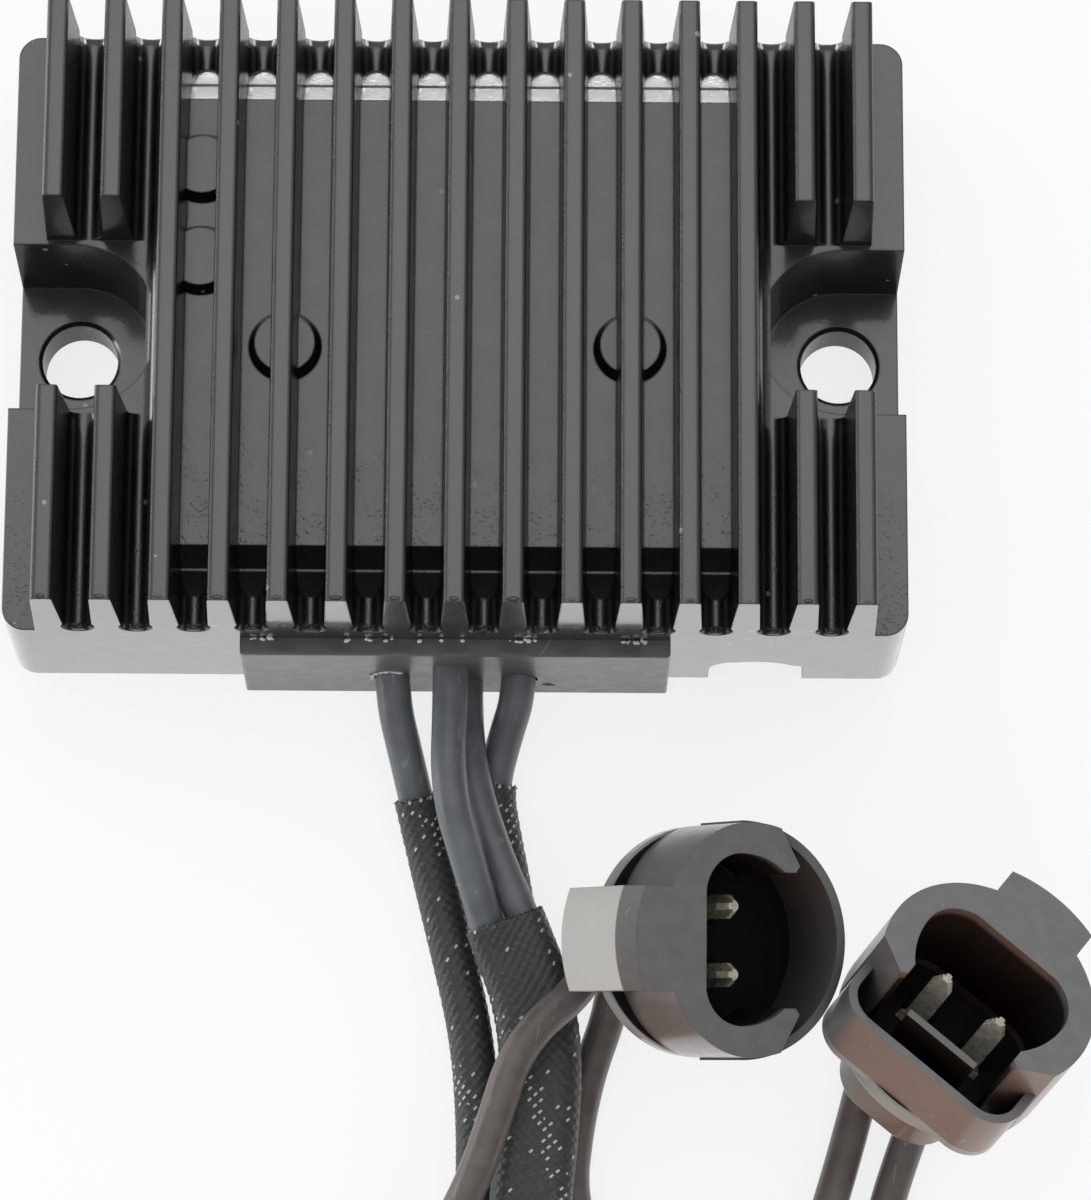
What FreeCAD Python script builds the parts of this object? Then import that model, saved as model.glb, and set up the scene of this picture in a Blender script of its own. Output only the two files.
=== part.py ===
"""Voltage regulator for a motorcycle: finned casting, potted electronics, four leads and two plugs.

The regulator lies on its mounting face. Z is up, the fins run along Y and the leads leave the -Y face.
The origin is the middle of the two mounting holes, on the mounting face. Sizes are in millimetres.
"""
import FreeCAD
import Part
import math
import os
from FreeCAD import Matrix, Placement, Rotation, Vector

# Casting: outside
hole_spacing = 101.6
hole_radius = 5.05
hole_edge_round = 0.5
body_width = 117.6
body_front = 41.3
body_back = 40.3
corner_radius = 3.0
groove_level = 22.5
casting_height = 38.0

# Casting: fins and the grooves between them
fin_count = 15
fin_pitch = 7.5
fin_top_thickness = 2.7
fin_root_thickness = 3.8
fin_edge_round = 0.4
groove_lip = 1.0

# Casting: raised roof over the electronics, between the third fins from each side
roof_level = 27.0
roof_front = 30.9
roof_back = 30.2
roof_fins_outside = 2
slope_step_level = 24.7
slope_step_depth = 0.3
slope_run = 2.6
slope_foot_run = 2.9

# Casting: ejector discs on the roof
disc_radius = 3.95
disc_foot_radius = 4.75
disc_height = 2.0
disc_row = -4.05
pad_rows = (20.4, 7.7)

# Casting: pocket and seat at each mounting hole
ear_thickness = 7.4
pocket_foot_radius = 10.3
pocket_mouth_radius = 11.3
gap_half_length = 12.0
gap_top_half_length = 12.8

# Casting: notch in the lower edge of the front face
notch_left = 33.5
notch_right = 46.0
notch_height = 8.6
notch_depth = 4.5
notch_left_round = 3.6
notch_right_round = 1.5

# Casting: cavity for the electronics, open below and at the front
cavity_half_width = 32.5
cavity_front = 36.0
cavity_back = 31.0
cavity_roof = 17.5
cavity_corner = 4.0
well_half_width = 30.0
well_front = 26.5
well_back = 26.0
well_roof = 22.8

# Lead block in the front wall
block_half_width = 28.0
block_top = 19.6
block_front_stand = 2.3
block_bore_gap = 0.0
block_edge = 0.5
window_margin = 3.0
window_top = 16.4
block_tongue = 3.4

# Circuit board and the parts that it carries
board_width = 62.0
board_front = 27.0
board_back = 25.0
board_thickness = 1.6
board_underside = 5.0
solder_gap = 0.25
device_width = 15.6
device_length = 20.0
device_thickness = 4.6
device_tab_length = 6.4
device_tab_thickness = 1.3
device_leg_width = 1.3
device_leg_pitch = 5.45
pad_thickness = 0.5
screw_radius = 1.5
screw_head_radius = 2.8
screw_head_height = 2.0
screw_depth = 3.2
screw_hole_gap = 0.2
device_places = ((-20.0, 6.0), (-6.8, 6.0), (6.8, 6.0), (20.0, 6.0))
capacitor_radius = 4.0
capacitor_length = 10.0
capacitor_place = (-22.0, -17.0)
transistor_place = (-9.0, -18.5)
zener_place = (-1.0, -20.0)
resistor_radius = 1.5
resistor_length = 6.5
resistor_places = ((8.0, -20.5), (16.0, -20.5), (24.0, -20.5))
potting_recess = 0.6

# Leads and their braided sleeves
lead_diameter = 4.6
sleeve_bore_gap = 0.2
sleeve_wall = 0.4
lead_inner_end = -36.0
lead_first_bend = -49.4
lead_exits = {
    "left": (-8.6, 8.6),
    "right": (8.5, 7.6),
    "upper": (-0.7, 11.8),
    "lower": (1.2, 5.0),
}
# Stretch of each sleeve, as lengths along its lead from the lead's inner end
sleeve_stretches = {"left": (24.2, 86.0), "right": (22.4, 84.0), "pair": (3.0, 43.0)}

# Points of each lead after its first bend. The two leads of the pair lie beside one middle line.
pair_spacing = 4.9
pair_middle = [
    (7.1, -77.0, 9.3), (9.2, -88.2, 9.15), (9.8, -99.6, 9.15), (9.6, -111.2, 9.15), (9.7, -122.8, 9.1),
    (12.6, -134.0, 8.6), (19.8, -142.0, 8.2), (30.4, -144.8, 8.0), (41.2, -142.4, 7.6),
]
left_route = [
    (-5.2, -62.4, 3.6), (-3.3, -70.6, 3.0), (-1.2, -80.2, 3.0), (0.8, -90.4, 3.0), (2.2, -100.8, 3.0),
    (2.8, -111.4, 3.0), (2.8, -122.4, 3.0), (2.2, -134.0, 2.6), (2.2, -145.6, 2.5), (2.0, -157.2, 2.5),
    (-4.1, -165.6, 2.5), (-14.0, -168.8, 2.5), (-23.9, -165.6, 2.5), (-30.0, -157.2, 2.5),
    (-30.0, -146.8, 2.5), (-24.6, -138.4, 3.4), (-16.4, -132.2, 6.6), (-8.0, -126.2, 10.0),
    (-1.2, -119.4, 12.8), (3.0, -111.0, 14.7), (5.4, -103.0, 14.8), (7.4, -96.2, 14.8), (11.0, -91.2, 15.0),
    (15.4, -87.4, 14.0), (17.6, -83.2, 10.1), (18.3, -79.3, 8.4), (20.6, -76.4, 9.1),
]
right_route = [
    (6.6, -62.4, 3.2), (7.0, -70.6, 3.0), (8.1, -79.4, 3.0), (8.8, -89.6, 3.0), (9.0, -99.8, 3.0),
    (9.1, -110.2, 3.0), (9.2, -120.8, 3.0), (8.6, -132.0, 2.6), (8.2, -143.6, 2.5), (8.3, -155.2, 2.5),
    (14.3, -163.6, 2.5), (24.2, -166.8, 2.5), (34.1, -163.6, 2.5), (40.2, -155.2, 2.5), (40.2, -144.8, 2.5),
    (34.1, -136.4, 2.5), (26.6, -129.2, 2.5), (20.4, -121.0, 2.5), (16.8, -111.6, 2.5), (17.0, -102.6, 2.5),
    (18.6, -94.8, 2.5), (20.4, -88.6, 3.6), (20.8, -85.3, 6.0),
]
upper_start = [(-0.4, -64.4, 13.6), (4.5, -77.3, 9.6)]
lower_start = [(2.7, -62.8, 8.2), (9.6, -76.5, 9.3)]
upper_end = [
    (51.6, -138.6, 5.4), (56.6, -130.4, 3.0), (57.8, -120.8, 2.5), (57.8, -111.4, 2.5), (57.5, -104.9, 2.5),
]
lower_end = [
    (47.2, -134.4, 5.2), (50.4, -126.2, 3.0), (50.8, -117.2, 2.5), (50.9, -108.8, 2.5), (50.9, -99.5, 3.0),
]
# Plug of each lead and the side of the plug that it enters
lead_ends = {"left": ("left", -1), "right": ("left", 1), "upper": ("right", -1), "lower": ("right", 1)}
last_bend = 1.9

# Plugs: a moulding with an open collar, a key tab, a round flange and an oval neck
plug_length = 29.5
plug_radius = 14.7
flange_radius = 14.6
round_wall_radius = 15.0
flange_top = 12.8
flange_bottom = 15.2
plug_floor = 14.0
collar_reach = 11.6
collar_end = (4.0, 14.3)
collar_tip = (6.7, 9.3)
cavity_flat = 6.0
cavity_half_height = 10.8
tab_half_width = 6.5
tab_radius = 18.3
tab_depth = 16.0
low_wall = 1.2
box_wall_reach = 14.0
box_wall_half_width = 13.5
box_wall_corner = 5.0
box_wall_bottom = 13.8
rib_place = 8.2
rib_thickness = 1.1
rib_half_length = 5.4
rib_top = 4.8
neck_half_width = 8.5
neck_half_depth = 6.0
seal_inset = 0.9
seal_length = 1.8
seal_recess = 0.4
lead_spacing = 8.6
terminal_recess = 4.4
terminal_recess_depth = 3.0
pin_place = -0.4
pin_tip = 4.6
pin_width = 3.0
pin_sheet = 0.8
pin_collar_length = 1.5
pin_barrel_radius = 2.0
lead_end_depth = 27.2
lead_chamber_gap = 0.15

# Where each plug lies: middle of its mouth, the way that it opens and the side of its tab.
# Stretch widens the collar towards the tab.
plugs = {
    "left": {"mouth": (37.56, -84.70, 38.0), "opens": (0.465, -0.158, 0.871), "tab": (-1.0, 0.0, 0.0),
             "stretch": 1.06, "chamfer": 1.9, "rim_depth": 2.2, "boxed": False},
    "right": {"mouth": (67.8, -88.6, 32.1), "opens": (0.346, 0.329, 0.877), "tab": (0.62, 0.76, 0.0),
              "stretch": 1.2, "chamfer": 0.5, "rim_depth": 5.2, "boxed": True},
}

os.makedirs("parts", exist_ok=True)

half_width = body_width / 2
body_depth = body_front + body_back
fin_span = (fin_count - 1) * fin_pitch
beyond = 5.0


def save(name, shape):
    """Writes one node and says how large it is."""
    shape = shape.removeSplitter() if len(shape.Solids) == 1 else shape
    shape.exportStep("parts/" + name + ".step")
    box = shape.BoundBox
    print(name, "solids", len(shape.Solids), "volume", round(shape.Volume, 1), "valid", shape.isValid(),
          "z", round(box.ZMin, 2), round(box.ZMax, 2))


def block_between(low, high):
    """A plain block from its lowest corner to its highest."""
    size = Vector(*high) - Vector(*low)
    return Part.makeBox(size.x, size.y, size.z, Vector(*low))


def rounded_block(low, high, radius):
    """A block with its four upright edges rounded."""
    block = block_between(low, high)
    upright = [e for e in block.Edges if abs(e.tangentAt(e.FirstParameter).z) > 0.99]
    return block.makeFillet(radius, upright)


def polygon_face(points):
    return Part.Face(Part.makePolygon([Vector(*p) for p in points + points[:1]]))


def fin_x(index):
    """Middle of a fin, counted from 0 at the -X side."""
    return (index - (fin_count - 1) / 2) * fin_pitch


def comb_face():
    """Section of the casting across its fins, with round groove bottoms and eased fin edges."""
    top = fin_top_thickness / 2
    root = fin_root_thickness / 2
    bottom_radius = fin_pitch / 2 - root
    spring = groove_level + bottom_radius
    ease = fin_edge_round
    flank_slope = (root - top) / (casting_height - spring)
    edges = []

    def line(a, b):
        edges.append(Part.LineSegment(Vector(a[0], 0, a[1]), Vector(b[0], 0, b[1])).toShape())

    def arc(a, m, b):
        points = [Vector(p[0], 0, p[1]) for p in (a, m, b)]
        edges.append(Part.Arc(*points).toShape())

    first_foot = (fin_x(0) - root, groove_level)
    line((-half_width, 0), (-half_width, groove_level))
    line((-half_width, groove_level), first_foot)
    here = first_foot
    for index in range(fin_count):
        x = fin_x(index)
        corner = 0.3 * ease
        side = top + flank_slope * ease
        line(here, (x - side, casting_height - ease))
        arc((x - side, casting_height - ease), (x - top + corner, casting_height - corner),
            (x - top + ease, casting_height))
        line((x - top + ease, casting_height), (x + top - ease, casting_height))
        arc((x + top - ease, casting_height), (x + top - corner, casting_height - corner),
            (x + side, casting_height - ease))
        if index < fin_count - 1:
            middle = x + fin_pitch / 2
            line((x + side, casting_height - ease), (x + root, spring))
            here = (x + fin_pitch - root, spring)
            arc((x + root, spring), (middle, groove_level), here)
        else:
            here = (x + root, groove_level)
            line((x + side, casting_height - ease), here)
    line(here, (half_width, groove_level))
    line((half_width, groove_level), (half_width, 0))
    line((half_width, 0), (-half_width, 0))
    return Part.Face(Part.Wire(edges))


def roof_hump():
    """The raised roof: flat on top, with a stepped slope down to the grooves at both ends."""
    outer = fin_x(roof_fins_outside)
    step = slope_step_level
    run = slope_run
    lip = slope_step_depth
    foot = slope_foot_run
    under = groove_level - 1.0
    slope = foot / (step - groove_level)
    past = slope * (groove_level - under)
    points = [
        (outer, -roof_front, roof_level),
        (outer, -roof_front - run, step),
        (outer, -roof_front - run - lip, step),
        (outer, -roof_front - run - lip - foot - past, under),
        (outer, roof_back + run + lip + foot + past, under),
        (outer, roof_back + run + lip, step),
        (outer, roof_back + run, step),
        (outer, roof_back, roof_level),
    ]
    return polygon_face(points).extrude(Vector(-2 * outer, 0, 0))


def ejector_discs():
    """Two large discs across a fin, and two more in the first gap of the roof."""
    disc_fin = fin_x(4)
    pad_gap = (fin_x(roof_fins_outside) + fin_x(roof_fins_outside + 1)) / 2
    places = [(disc_fin, disc_row), (-disc_fin, disc_row)] + [(pad_gap, row) for row in pad_rows]
    return [
        Part.makeCone(disc_foot_radius, disc_radius, disc_height, Vector(x, y, roof_level))
        for x, y in places
    ]


def slot_wire(side, radius, z):
    """Outline of the pocket: half round about the hole, straight sides out through the edge."""
    centre = side * hole_spacing / 2
    outside = side * (half_width + beyond)
    points = [
        Vector(outside, -radius, z),
        Vector(centre, -radius, z),
        Vector(centre - side * radius, 0, z),
        Vector(centre, radius, z),
        Vector(outside, radius, z),
    ]
    edges = [
        Part.LineSegment(points[0], points[1]).toShape(),
        Part.Arc(points[1], points[2], points[3]).toShape(),
        Part.LineSegment(points[3], points[4]).toShape(),
        Part.LineSegment(points[4], points[0]).toShape(),
    ]
    return Part.Wire(edges)


def ear_cut(side):
    """What is open above one mounting ear: the gap in two fins, the pocket, and the bolt hole."""
    inner = side * (abs(fin_x(roof_fins_outside)) + fin_pitch / 2)
    outer = side * (half_width + beyond)
    rise = casting_height - groove_level
    reach = gap_top_half_length - gap_half_length
    top = gap_top_half_length + reach * beyond / rise
    gap = polygon_face([
        (inner, -gap_half_length, groove_level),
        (inner, gap_half_length, groove_level),
        (inner, top, casting_height + beyond),
        (inner, -top, casting_height + beyond),
    ]).extrude(Vector(outer - inner, 0, 0))
    pocket = Part.makeLoft([
        slot_wire(side, pocket_foot_radius, ear_thickness),
        slot_wire(side, pocket_mouth_radius, groove_level + 0.01),
    ], True, True)
    centre = side * hole_spacing / 2
    bore = Part.makeCylinder(hole_radius, ear_thickness + 2 * beyond, Vector(centre, 0, -beyond))
    ease = hole_edge_round
    rim = Part.makeCone(hole_radius, hole_radius + ease, ease, Vector(centre, 0, ear_thickness - ease))
    foot = Part.makeCone(hole_radius + ease, hole_radius, ease, Vector(centre, 0, 0))
    return [gap, pocket, bore, rim, foot]


def notch():
    """The arched notch in the lower front edge."""
    y = -body_front - beyond
    left = notch_left
    right = notch_right
    top = notch_height
    crown = left + 0.55 * (right - left)
    right_shoulder = top - 1.9
    lr = notch_left_round
    rr = notch_right_round
    diagonal = 1 - math.sqrt(0.5)

    def at(x, z):
        return Vector(x, y, z)

    edges = [
        Part.LineSegment(at(left, -beyond), at(left, top - 0.4 - lr)).toShape(),
        Part.Arc(at(left, top - 0.4 - lr), at(left + diagonal * lr, top - 0.4 - diagonal * lr),
                 at(left + lr, top - 0.4)).toShape(),
        Part.Arc(at(left + lr, top - 0.4), at(crown - 1.0, top), at(right - rr, right_shoulder)).toShape(),
        Part.Arc(at(right - rr, right_shoulder),
                 at(right - diagonal * rr, right_shoulder - diagonal * rr),
                 at(right, right_shoulder - rr)).toShape(),
        Part.LineSegment(at(right, right_shoulder - rr), at(right, -beyond)).toShape(),
        Part.LineSegment(at(right, -beyond), at(left, -beyond)).toShape(),
    ]
    return Part.Face(Part.Wire(edges)).extrude(Vector(0, beyond + notch_depth, 0))


def cavity():
    """Space for the electronics: a wide cavity with a deeper well under the raised roof."""
    wide = rounded_block(
        (-cavity_half_width, -cavity_front, -beyond),
        (cavity_half_width, cavity_back, cavity_roof), cavity_corner)
    well = rounded_block(
        (-well_half_width, -well_front, 0),
        (well_half_width, well_back, well_roof), cavity_corner)
    window = block_between(
        (-block_half_width + window_margin, -body_front - beyond, -beyond),
        (block_half_width - window_margin, -cavity_front + 1, window_top))
    return wide.fuse(well).fuse(window)


def groove_lips():
    """The eased mouths of the grooves at the front and back faces."""
    cutters = []
    radius = fin_pitch / 2 - fin_root_thickness / 2
    for index in range(fin_count - 1):
        x = fin_x(index) + fin_pitch / 2
        for y, direction in ((-body_front, 1), (body_back, -1)):
            low = groove_level - 0.5 * groove_lip
            cutters.append(Part.makeCone(radius + 0.35 * groove_lip, radius, groove_lip,
                                         Vector(x, y, low + radius + 0.5 * groove_lip),
                                         Vector(0, direction, 0)))
    return cutters


def heat_sink():
    """The one-piece finned casting."""
    comb = comb_face()
    comb.translate(Vector(0, -body_front, 0))
    body = comb.extrude(Vector(0, body_depth, 0))
    outline = rounded_block(
        (-half_width, -body_front, -beyond),
        (half_width, body_back, casting_height + beyond), corner_radius)
    body = body.common(outline)
    body = body.fuse([roof_hump()] + ejector_discs())
    cuts = ear_cut(-1) + ear_cut(1) + [notch(), cavity()] + groove_lips() + device_screw_holes()
    return body.cut(cuts)


def device_screw_holes():
    """Blind holes in the well's roof for the screws that clamp the power devices."""
    return [
        Part.makeCylinder(screw_radius, screw_depth, Vector(x, screw_y(y), well_roof))
        for x, y in device_places
    ]


def screw_y(device_y):
    """The screw stands in the tab, at the far end of the device."""
    return device_y + device_length / 2 - device_tab_length / 2


def lead_bores(radius):
    """Cylinders on the leads' straight inner stretch."""
    return [
        Part.makeCylinder(radius, body_front + block_front_stand + lead_inner_end + beyond,
                          Vector(x, lead_inner_end, z), Vector(0, -1, 0))
        for x, z in lead_exits.values()
    ]


def lead_exit_block():
    """Moulded block that closes the window in the front wall and carries the four leads."""
    face_y = -body_front - block_front_stand
    plate = block_between((-block_half_width, face_y, 0), (block_half_width, -body_front, block_top))
    front_edges = [
        e for e in plate.Edges
        if all(abs(v.Point.y - face_y) < 0.01 for v in e.Vertexes) and min(v.Point.z for v in e.Vertexes) > -1
    ]
    plate = plate.makeFillet(block_edge, front_edges)
    tongue = block_between(
        (-block_half_width + window_margin, -body_front, 0),
        (block_half_width - window_margin, -body_front + block_tongue, window_top))
    return plate.fuse(tongue).removeSplitter().cut(lead_bores(lead_diameter / 2))


def circuit_board():
    """The board, with holes for the leads' wire ends left closed by solder."""
    return rounded_block(
        (-board_width / 2, -board_front, board_underside),
        (board_width / 2, board_back, board_underside + board_thickness), 1.5)


def board_top():
    return board_underside + board_thickness


def power_device(x, y):
    """A flat power device: body, bare tab with its screw hole, and three legs bent down to the board."""
    top = well_roof - pad_thickness
    low_y = y - device_length / 2
    high_y = y + device_length / 2
    tab_low = high_y - device_tab_length
    body = block_between((x - device_width / 2 + 2, low_y, top - device_thickness),
                         (x + device_width / 2 - 2, tab_low, top))
    tab = block_between((x - device_width / 2 + 2, tab_low, top - device_tab_thickness),
                        (x + device_width / 2 - 2, high_y, top))
    hole = Part.makeCylinder(screw_radius + screw_hole_gap, 4, Vector(x, screw_y(y), top - 3))
    legs = []
    for offset in (-1, 0, 1):
        leg_x = x + offset * device_leg_pitch * 0.7
        half = device_leg_width / 2
        leg_z = top - device_thickness + 1.5
        legs.append(block_between((leg_x - half, low_y - 3.5, leg_z), (leg_x + half, low_y, leg_z + 0.6)))
        legs.append(block_between((leg_x - half, low_y - 3.5, board_top()),
                                  (leg_x + half, low_y - 2.9, leg_z + 0.6)))
    return body.fuse([tab] + legs).cut(hole)


def thermal_pads():
    """Insulating pads between the power devices and the casting."""
    pads = []
    for x, y in device_places:
        pad = block_between(
            (x - device_width / 2 + 1.5, y - device_length / 2 - 0.5, well_roof - pad_thickness),
            (x + device_width / 2 - 1.5, y + device_length / 2 + 0.5, well_roof))
        pads.append(pad.cut(Part.makeCylinder(screw_radius, 4, Vector(x, screw_y(y), well_roof - 2))))
    return Part.makeCompound(pads)


def clamp_screws():
    """Pan head screws through the tabs into the casting."""
    screws = []
    for x, y in device_places:
        seat = well_roof - pad_thickness - device_tab_thickness
        shank = Part.makeCylinder(screw_radius, well_roof + screw_depth - seat, Vector(x, screw_y(y), seat))
        head = Part.makeCylinder(screw_head_radius, screw_head_height,
                                 Vector(x, screw_y(y), seat - screw_head_height))
        lower = [e for e in head.Edges if abs(e.BoundBox.ZMax - (seat - screw_head_height)) < 0.01
                 and e.Curve.TypeId == "Part::GeomCircle"]
        screws.append(head.makeFillet(0.6, lower).fuse(shank).removeSplitter())
    return Part.makeCompound(screws)


def filter_capacitor():
    x, y = capacitor_place
    can = Part.makeCylinder(capacitor_radius, capacitor_length, Vector(x, y, board_top()))
    top = [e for e in can.Edges if e.BoundBox.ZMin > board_top() + 1]
    return can.makeFillet(0.8, top)


def control_transistor():
    """A small round-backed transistor standing on its legs."""
    x, y = transistor_place
    body = Part.makeCylinder(2.3, 4.6, Vector(x, y, board_top() + 2.5))
    body = body.cut(block_between((x - 3, y - 3, board_top()), (x + 3, y - 1.2, board_top() + 9)))
    legs = [
        block_between((x + dx - 0.25, y - 0.25, board_top()), (x + dx + 0.25, y + 0.25, board_top() + 2.5))
        for dx in (-1.27, 0, 1.27)
    ]
    return body.fuse(legs)


def axial_part(x, y, radius, length):
    """A round part lying on the board, with a bent wire at each end."""
    z = board_top() + radius + 0.3
    body = Part.makeCylinder(radius, length, Vector(x, y - length / 2, z), Vector(0, 1, 0))
    wires = []
    for end in (-1, 1):
        y0 = y + end * length / 2
        y1 = y + end * (length / 2 + 1.5)
        wires.append(block_between((x - 0.3, min(y0, y1), z - 0.3), (x + 0.3, max(y0, y1), z + 0.3)))
        low = min(y1, y1 - end * 0.6)
        wires.append(block_between((x - 0.3, low, board_top()), (x + 0.3, low + 0.6, z - 0.3)))
    return body.fuse(wires).removeSplitter()


def zener_diode():
    return axial_part(zener_place[0], zener_place[1], 1.3, 5.0)


def sense_resistors():
    return Part.makeCompound([axial_part(x, y, resistor_radius, resistor_length) for x, y in resistor_places])


def potting_compound(contents):
    """Resin that fills the cavity around the board and its parts, a little below the mounting face."""
    fill = rounded_block(
        (-cavity_half_width, -cavity_front, potting_recess),
        (cavity_half_width, cavity_back, cavity_roof), cavity_corner)
    well = rounded_block(
        (-well_half_width, -well_front, potting_recess + 1),
        (well_half_width, well_back, well_roof), cavity_corner)
    front = block_between(
        (-block_half_width + window_margin, -body_front + block_tongue, potting_recess),
        (block_half_width - window_margin, -cavity_front + 1, window_top))
    fill = fill.fuse([well, front]).removeSplitter()
    sleeves = [
        Part.makeCylinder(screw_radius + screw_hole_gap, pad_thickness + device_tab_thickness,
                          Vector(x, screw_y(y), well_roof - pad_thickness - device_tab_thickness))
        for x, y in device_places
    ]
    return fill.cut(contents + sleeves + lead_bores(lead_diameter / 2))


def plug_axes(plug):
    """The plug's own axes in the part: towards the tab, across, and out of the mouth."""
    out = Vector(*plug["opens"]).normalize()
    tab = Vector(*plug["tab"])
    tab = (tab - out * tab.dot(out)).normalize()
    return tab, out.cross(tab), out


def plug_point(plug, u, v, depth):
    """A point of the plug in the part, from its place beside the mouth and its depth below it."""
    tab, across, out = plug_axes(plug)
    return Vector(*plug["mouth"]) + tab * u + across * v - out * depth


def placed(plug, shape):
    tab, across, out = plug_axes(plug)
    mouth = plug["mouth"]
    matrix = Matrix(tab.x, across.x, out.x, mouth[0], tab.y, across.y, out.y, mouth[1],
                    tab.z, across.z, out.z, mouth[2], 0, 0, 0, 1)
    return shape.transformed(matrix)


def prism(edges, top, bottom):
    """A solid from an outline in the mouth's plane, between two depths."""
    wire = Part.Wire(edges)
    wire.translate(Vector(0, 0, -bottom))
    return Part.Face(wire).extrude(Vector(0, 0, bottom - top))


def polyline(points):
    closed = [Vector(x, y, 0) for x, y in points + points[:1]]
    return [Part.LineSegment(a, b).toShape() for a, b in zip(closed, closed[1:])]


def arc_through(a, m, b):
    return Part.Arc(Vector(a[0], a[1], 0), Vector(m[0], m[1], 0), Vector(b[0], b[1], 0)).toShape()


def segment(a, b):
    return Part.LineSegment(Vector(a[0], a[1], 0), Vector(b[0], b[1], 0)).toShape()


def oval(half_width, half_depth, top, bottom):
    """A prism with round ends, longest across the plug."""
    flat = half_width - half_depth
    edges = [
        segment((half_depth, -flat), (half_depth, flat)),
        arc_through((half_depth, flat), (0, half_width), (-half_depth, flat)),
        segment((-half_depth, flat), (-half_depth, -flat)),
        arc_through((-half_depth, -flat), (0, -half_width), (half_depth, -flat)),
    ]
    return prism(edges, top, bottom)


def collar_outline(plug):
    """Outline of the collar: round, but flatter towards the tab."""
    reach = collar_reach * plug["stretch"]
    across = Part.Ellipse(Vector(0, plug_radius, 0), Vector(-reach, 0, 0), Vector(0, 0, 0))
    flat_side = Part.ArcOfEllipse(across, math.pi, 2 * math.pi).toShape()
    if flat_side.BoundBox.XMax < 1:
        flat_side = Part.ArcOfEllipse(across, 0, math.pi).toShape()
    round_side = arc_through((0, plug_radius), (-plug_radius, 0), (0, -plug_radius))
    return [flat_side, round_side]


def mating_cavity(plug, top, bottom):
    """The cavity that takes the other half of the connector, flat towards the tab."""
    s = plug["stretch"]
    flat = cavity_flat * s
    half = cavity_half_height
    tip_u, tip_v = collar_tip
    open_u = -(tip_u + 0.4) * s
    low = tip_v - 0.8
    edges = [
        segment((flat, -0.58 * half), (flat, 0.58 * half)),
        arc_through((flat, 0.58 * half), (0.72 * flat, 0.885 * half), (0.19 * flat, half)),
        arc_through((0.19 * flat, half), (-0.32 * flat, 0.945 * half), (-0.78 * flat, low)),
        segment((-0.78 * flat, low), (open_u, low)),
        segment((open_u, low), (open_u, -low)),
        segment((open_u, -low), (-0.78 * flat, -low)),
        arc_through((-0.78 * flat, -low), (-0.32 * flat, -0.945 * half), (0.19 * flat, -half)),
        arc_through((0.19 * flat, -half), (0.72 * flat, -0.885 * half), (flat, -0.58 * half)),
    ]
    return prism(edges, top, bottom)


def beyond_collar(plug, top, bottom):
    """The space past the collar's two ends, with their slanted cuts."""
    s = plug["stretch"]
    end_u, end_v = collar_end
    tip_u, tip_v = collar_tip
    far = plug_radius + beyond
    upper = [(-end_u * s, far), (-end_u * s, end_v), (-tip_u * s, tip_v), (-(tip_u - 0.5) * s, tip_v - 0.7)]
    lower = [(u, -v) for u, v in reversed(upper)]
    return prism(polyline(upper + lower + [(-far, -far), (-far, far)]), top, bottom)


def low_wall_body(plug, inset, top, bottom):
    """Outline of the lower wall opposite the tab, drawn in by the inset."""
    if not plug["boxed"]:
        return prism([Part.makeCircle(round_wall_radius - inset)], top, bottom)
    half = box_wall_half_width - inset
    reach = box_wall_reach - inset
    block = Part.makeBox(reach + 4.0, 2 * half, bottom - top, Vector(-reach, -half, -bottom))
    corners = [e for e in block.Edges if abs(e.tangentAt(e.FirstParameter).z) > 0.99
               and e.BoundBox.XMax < 0]
    return block.makeFillet(box_wall_corner - inset, corners)


def key_tab(plug):
    """The tab, with an arc-shaped outer face and a chamfer towards the mouth."""
    cut = plug["chamfer"]
    core = Part.makeCylinder(tab_radius, tab_depth - cut, Vector(0, 0, -tab_depth))
    edge = Part.makeCone(tab_radius, tab_radius - cut, cut, Vector(0, 0, -cut))
    start = 0.8 * collar_reach
    reach = Part.makeBox(tab_radius, 2 * tab_half_width, tab_depth + 1, Vector(start, -tab_half_width, -tab_depth))
    return core.fuse(edge).common(reach)


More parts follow.
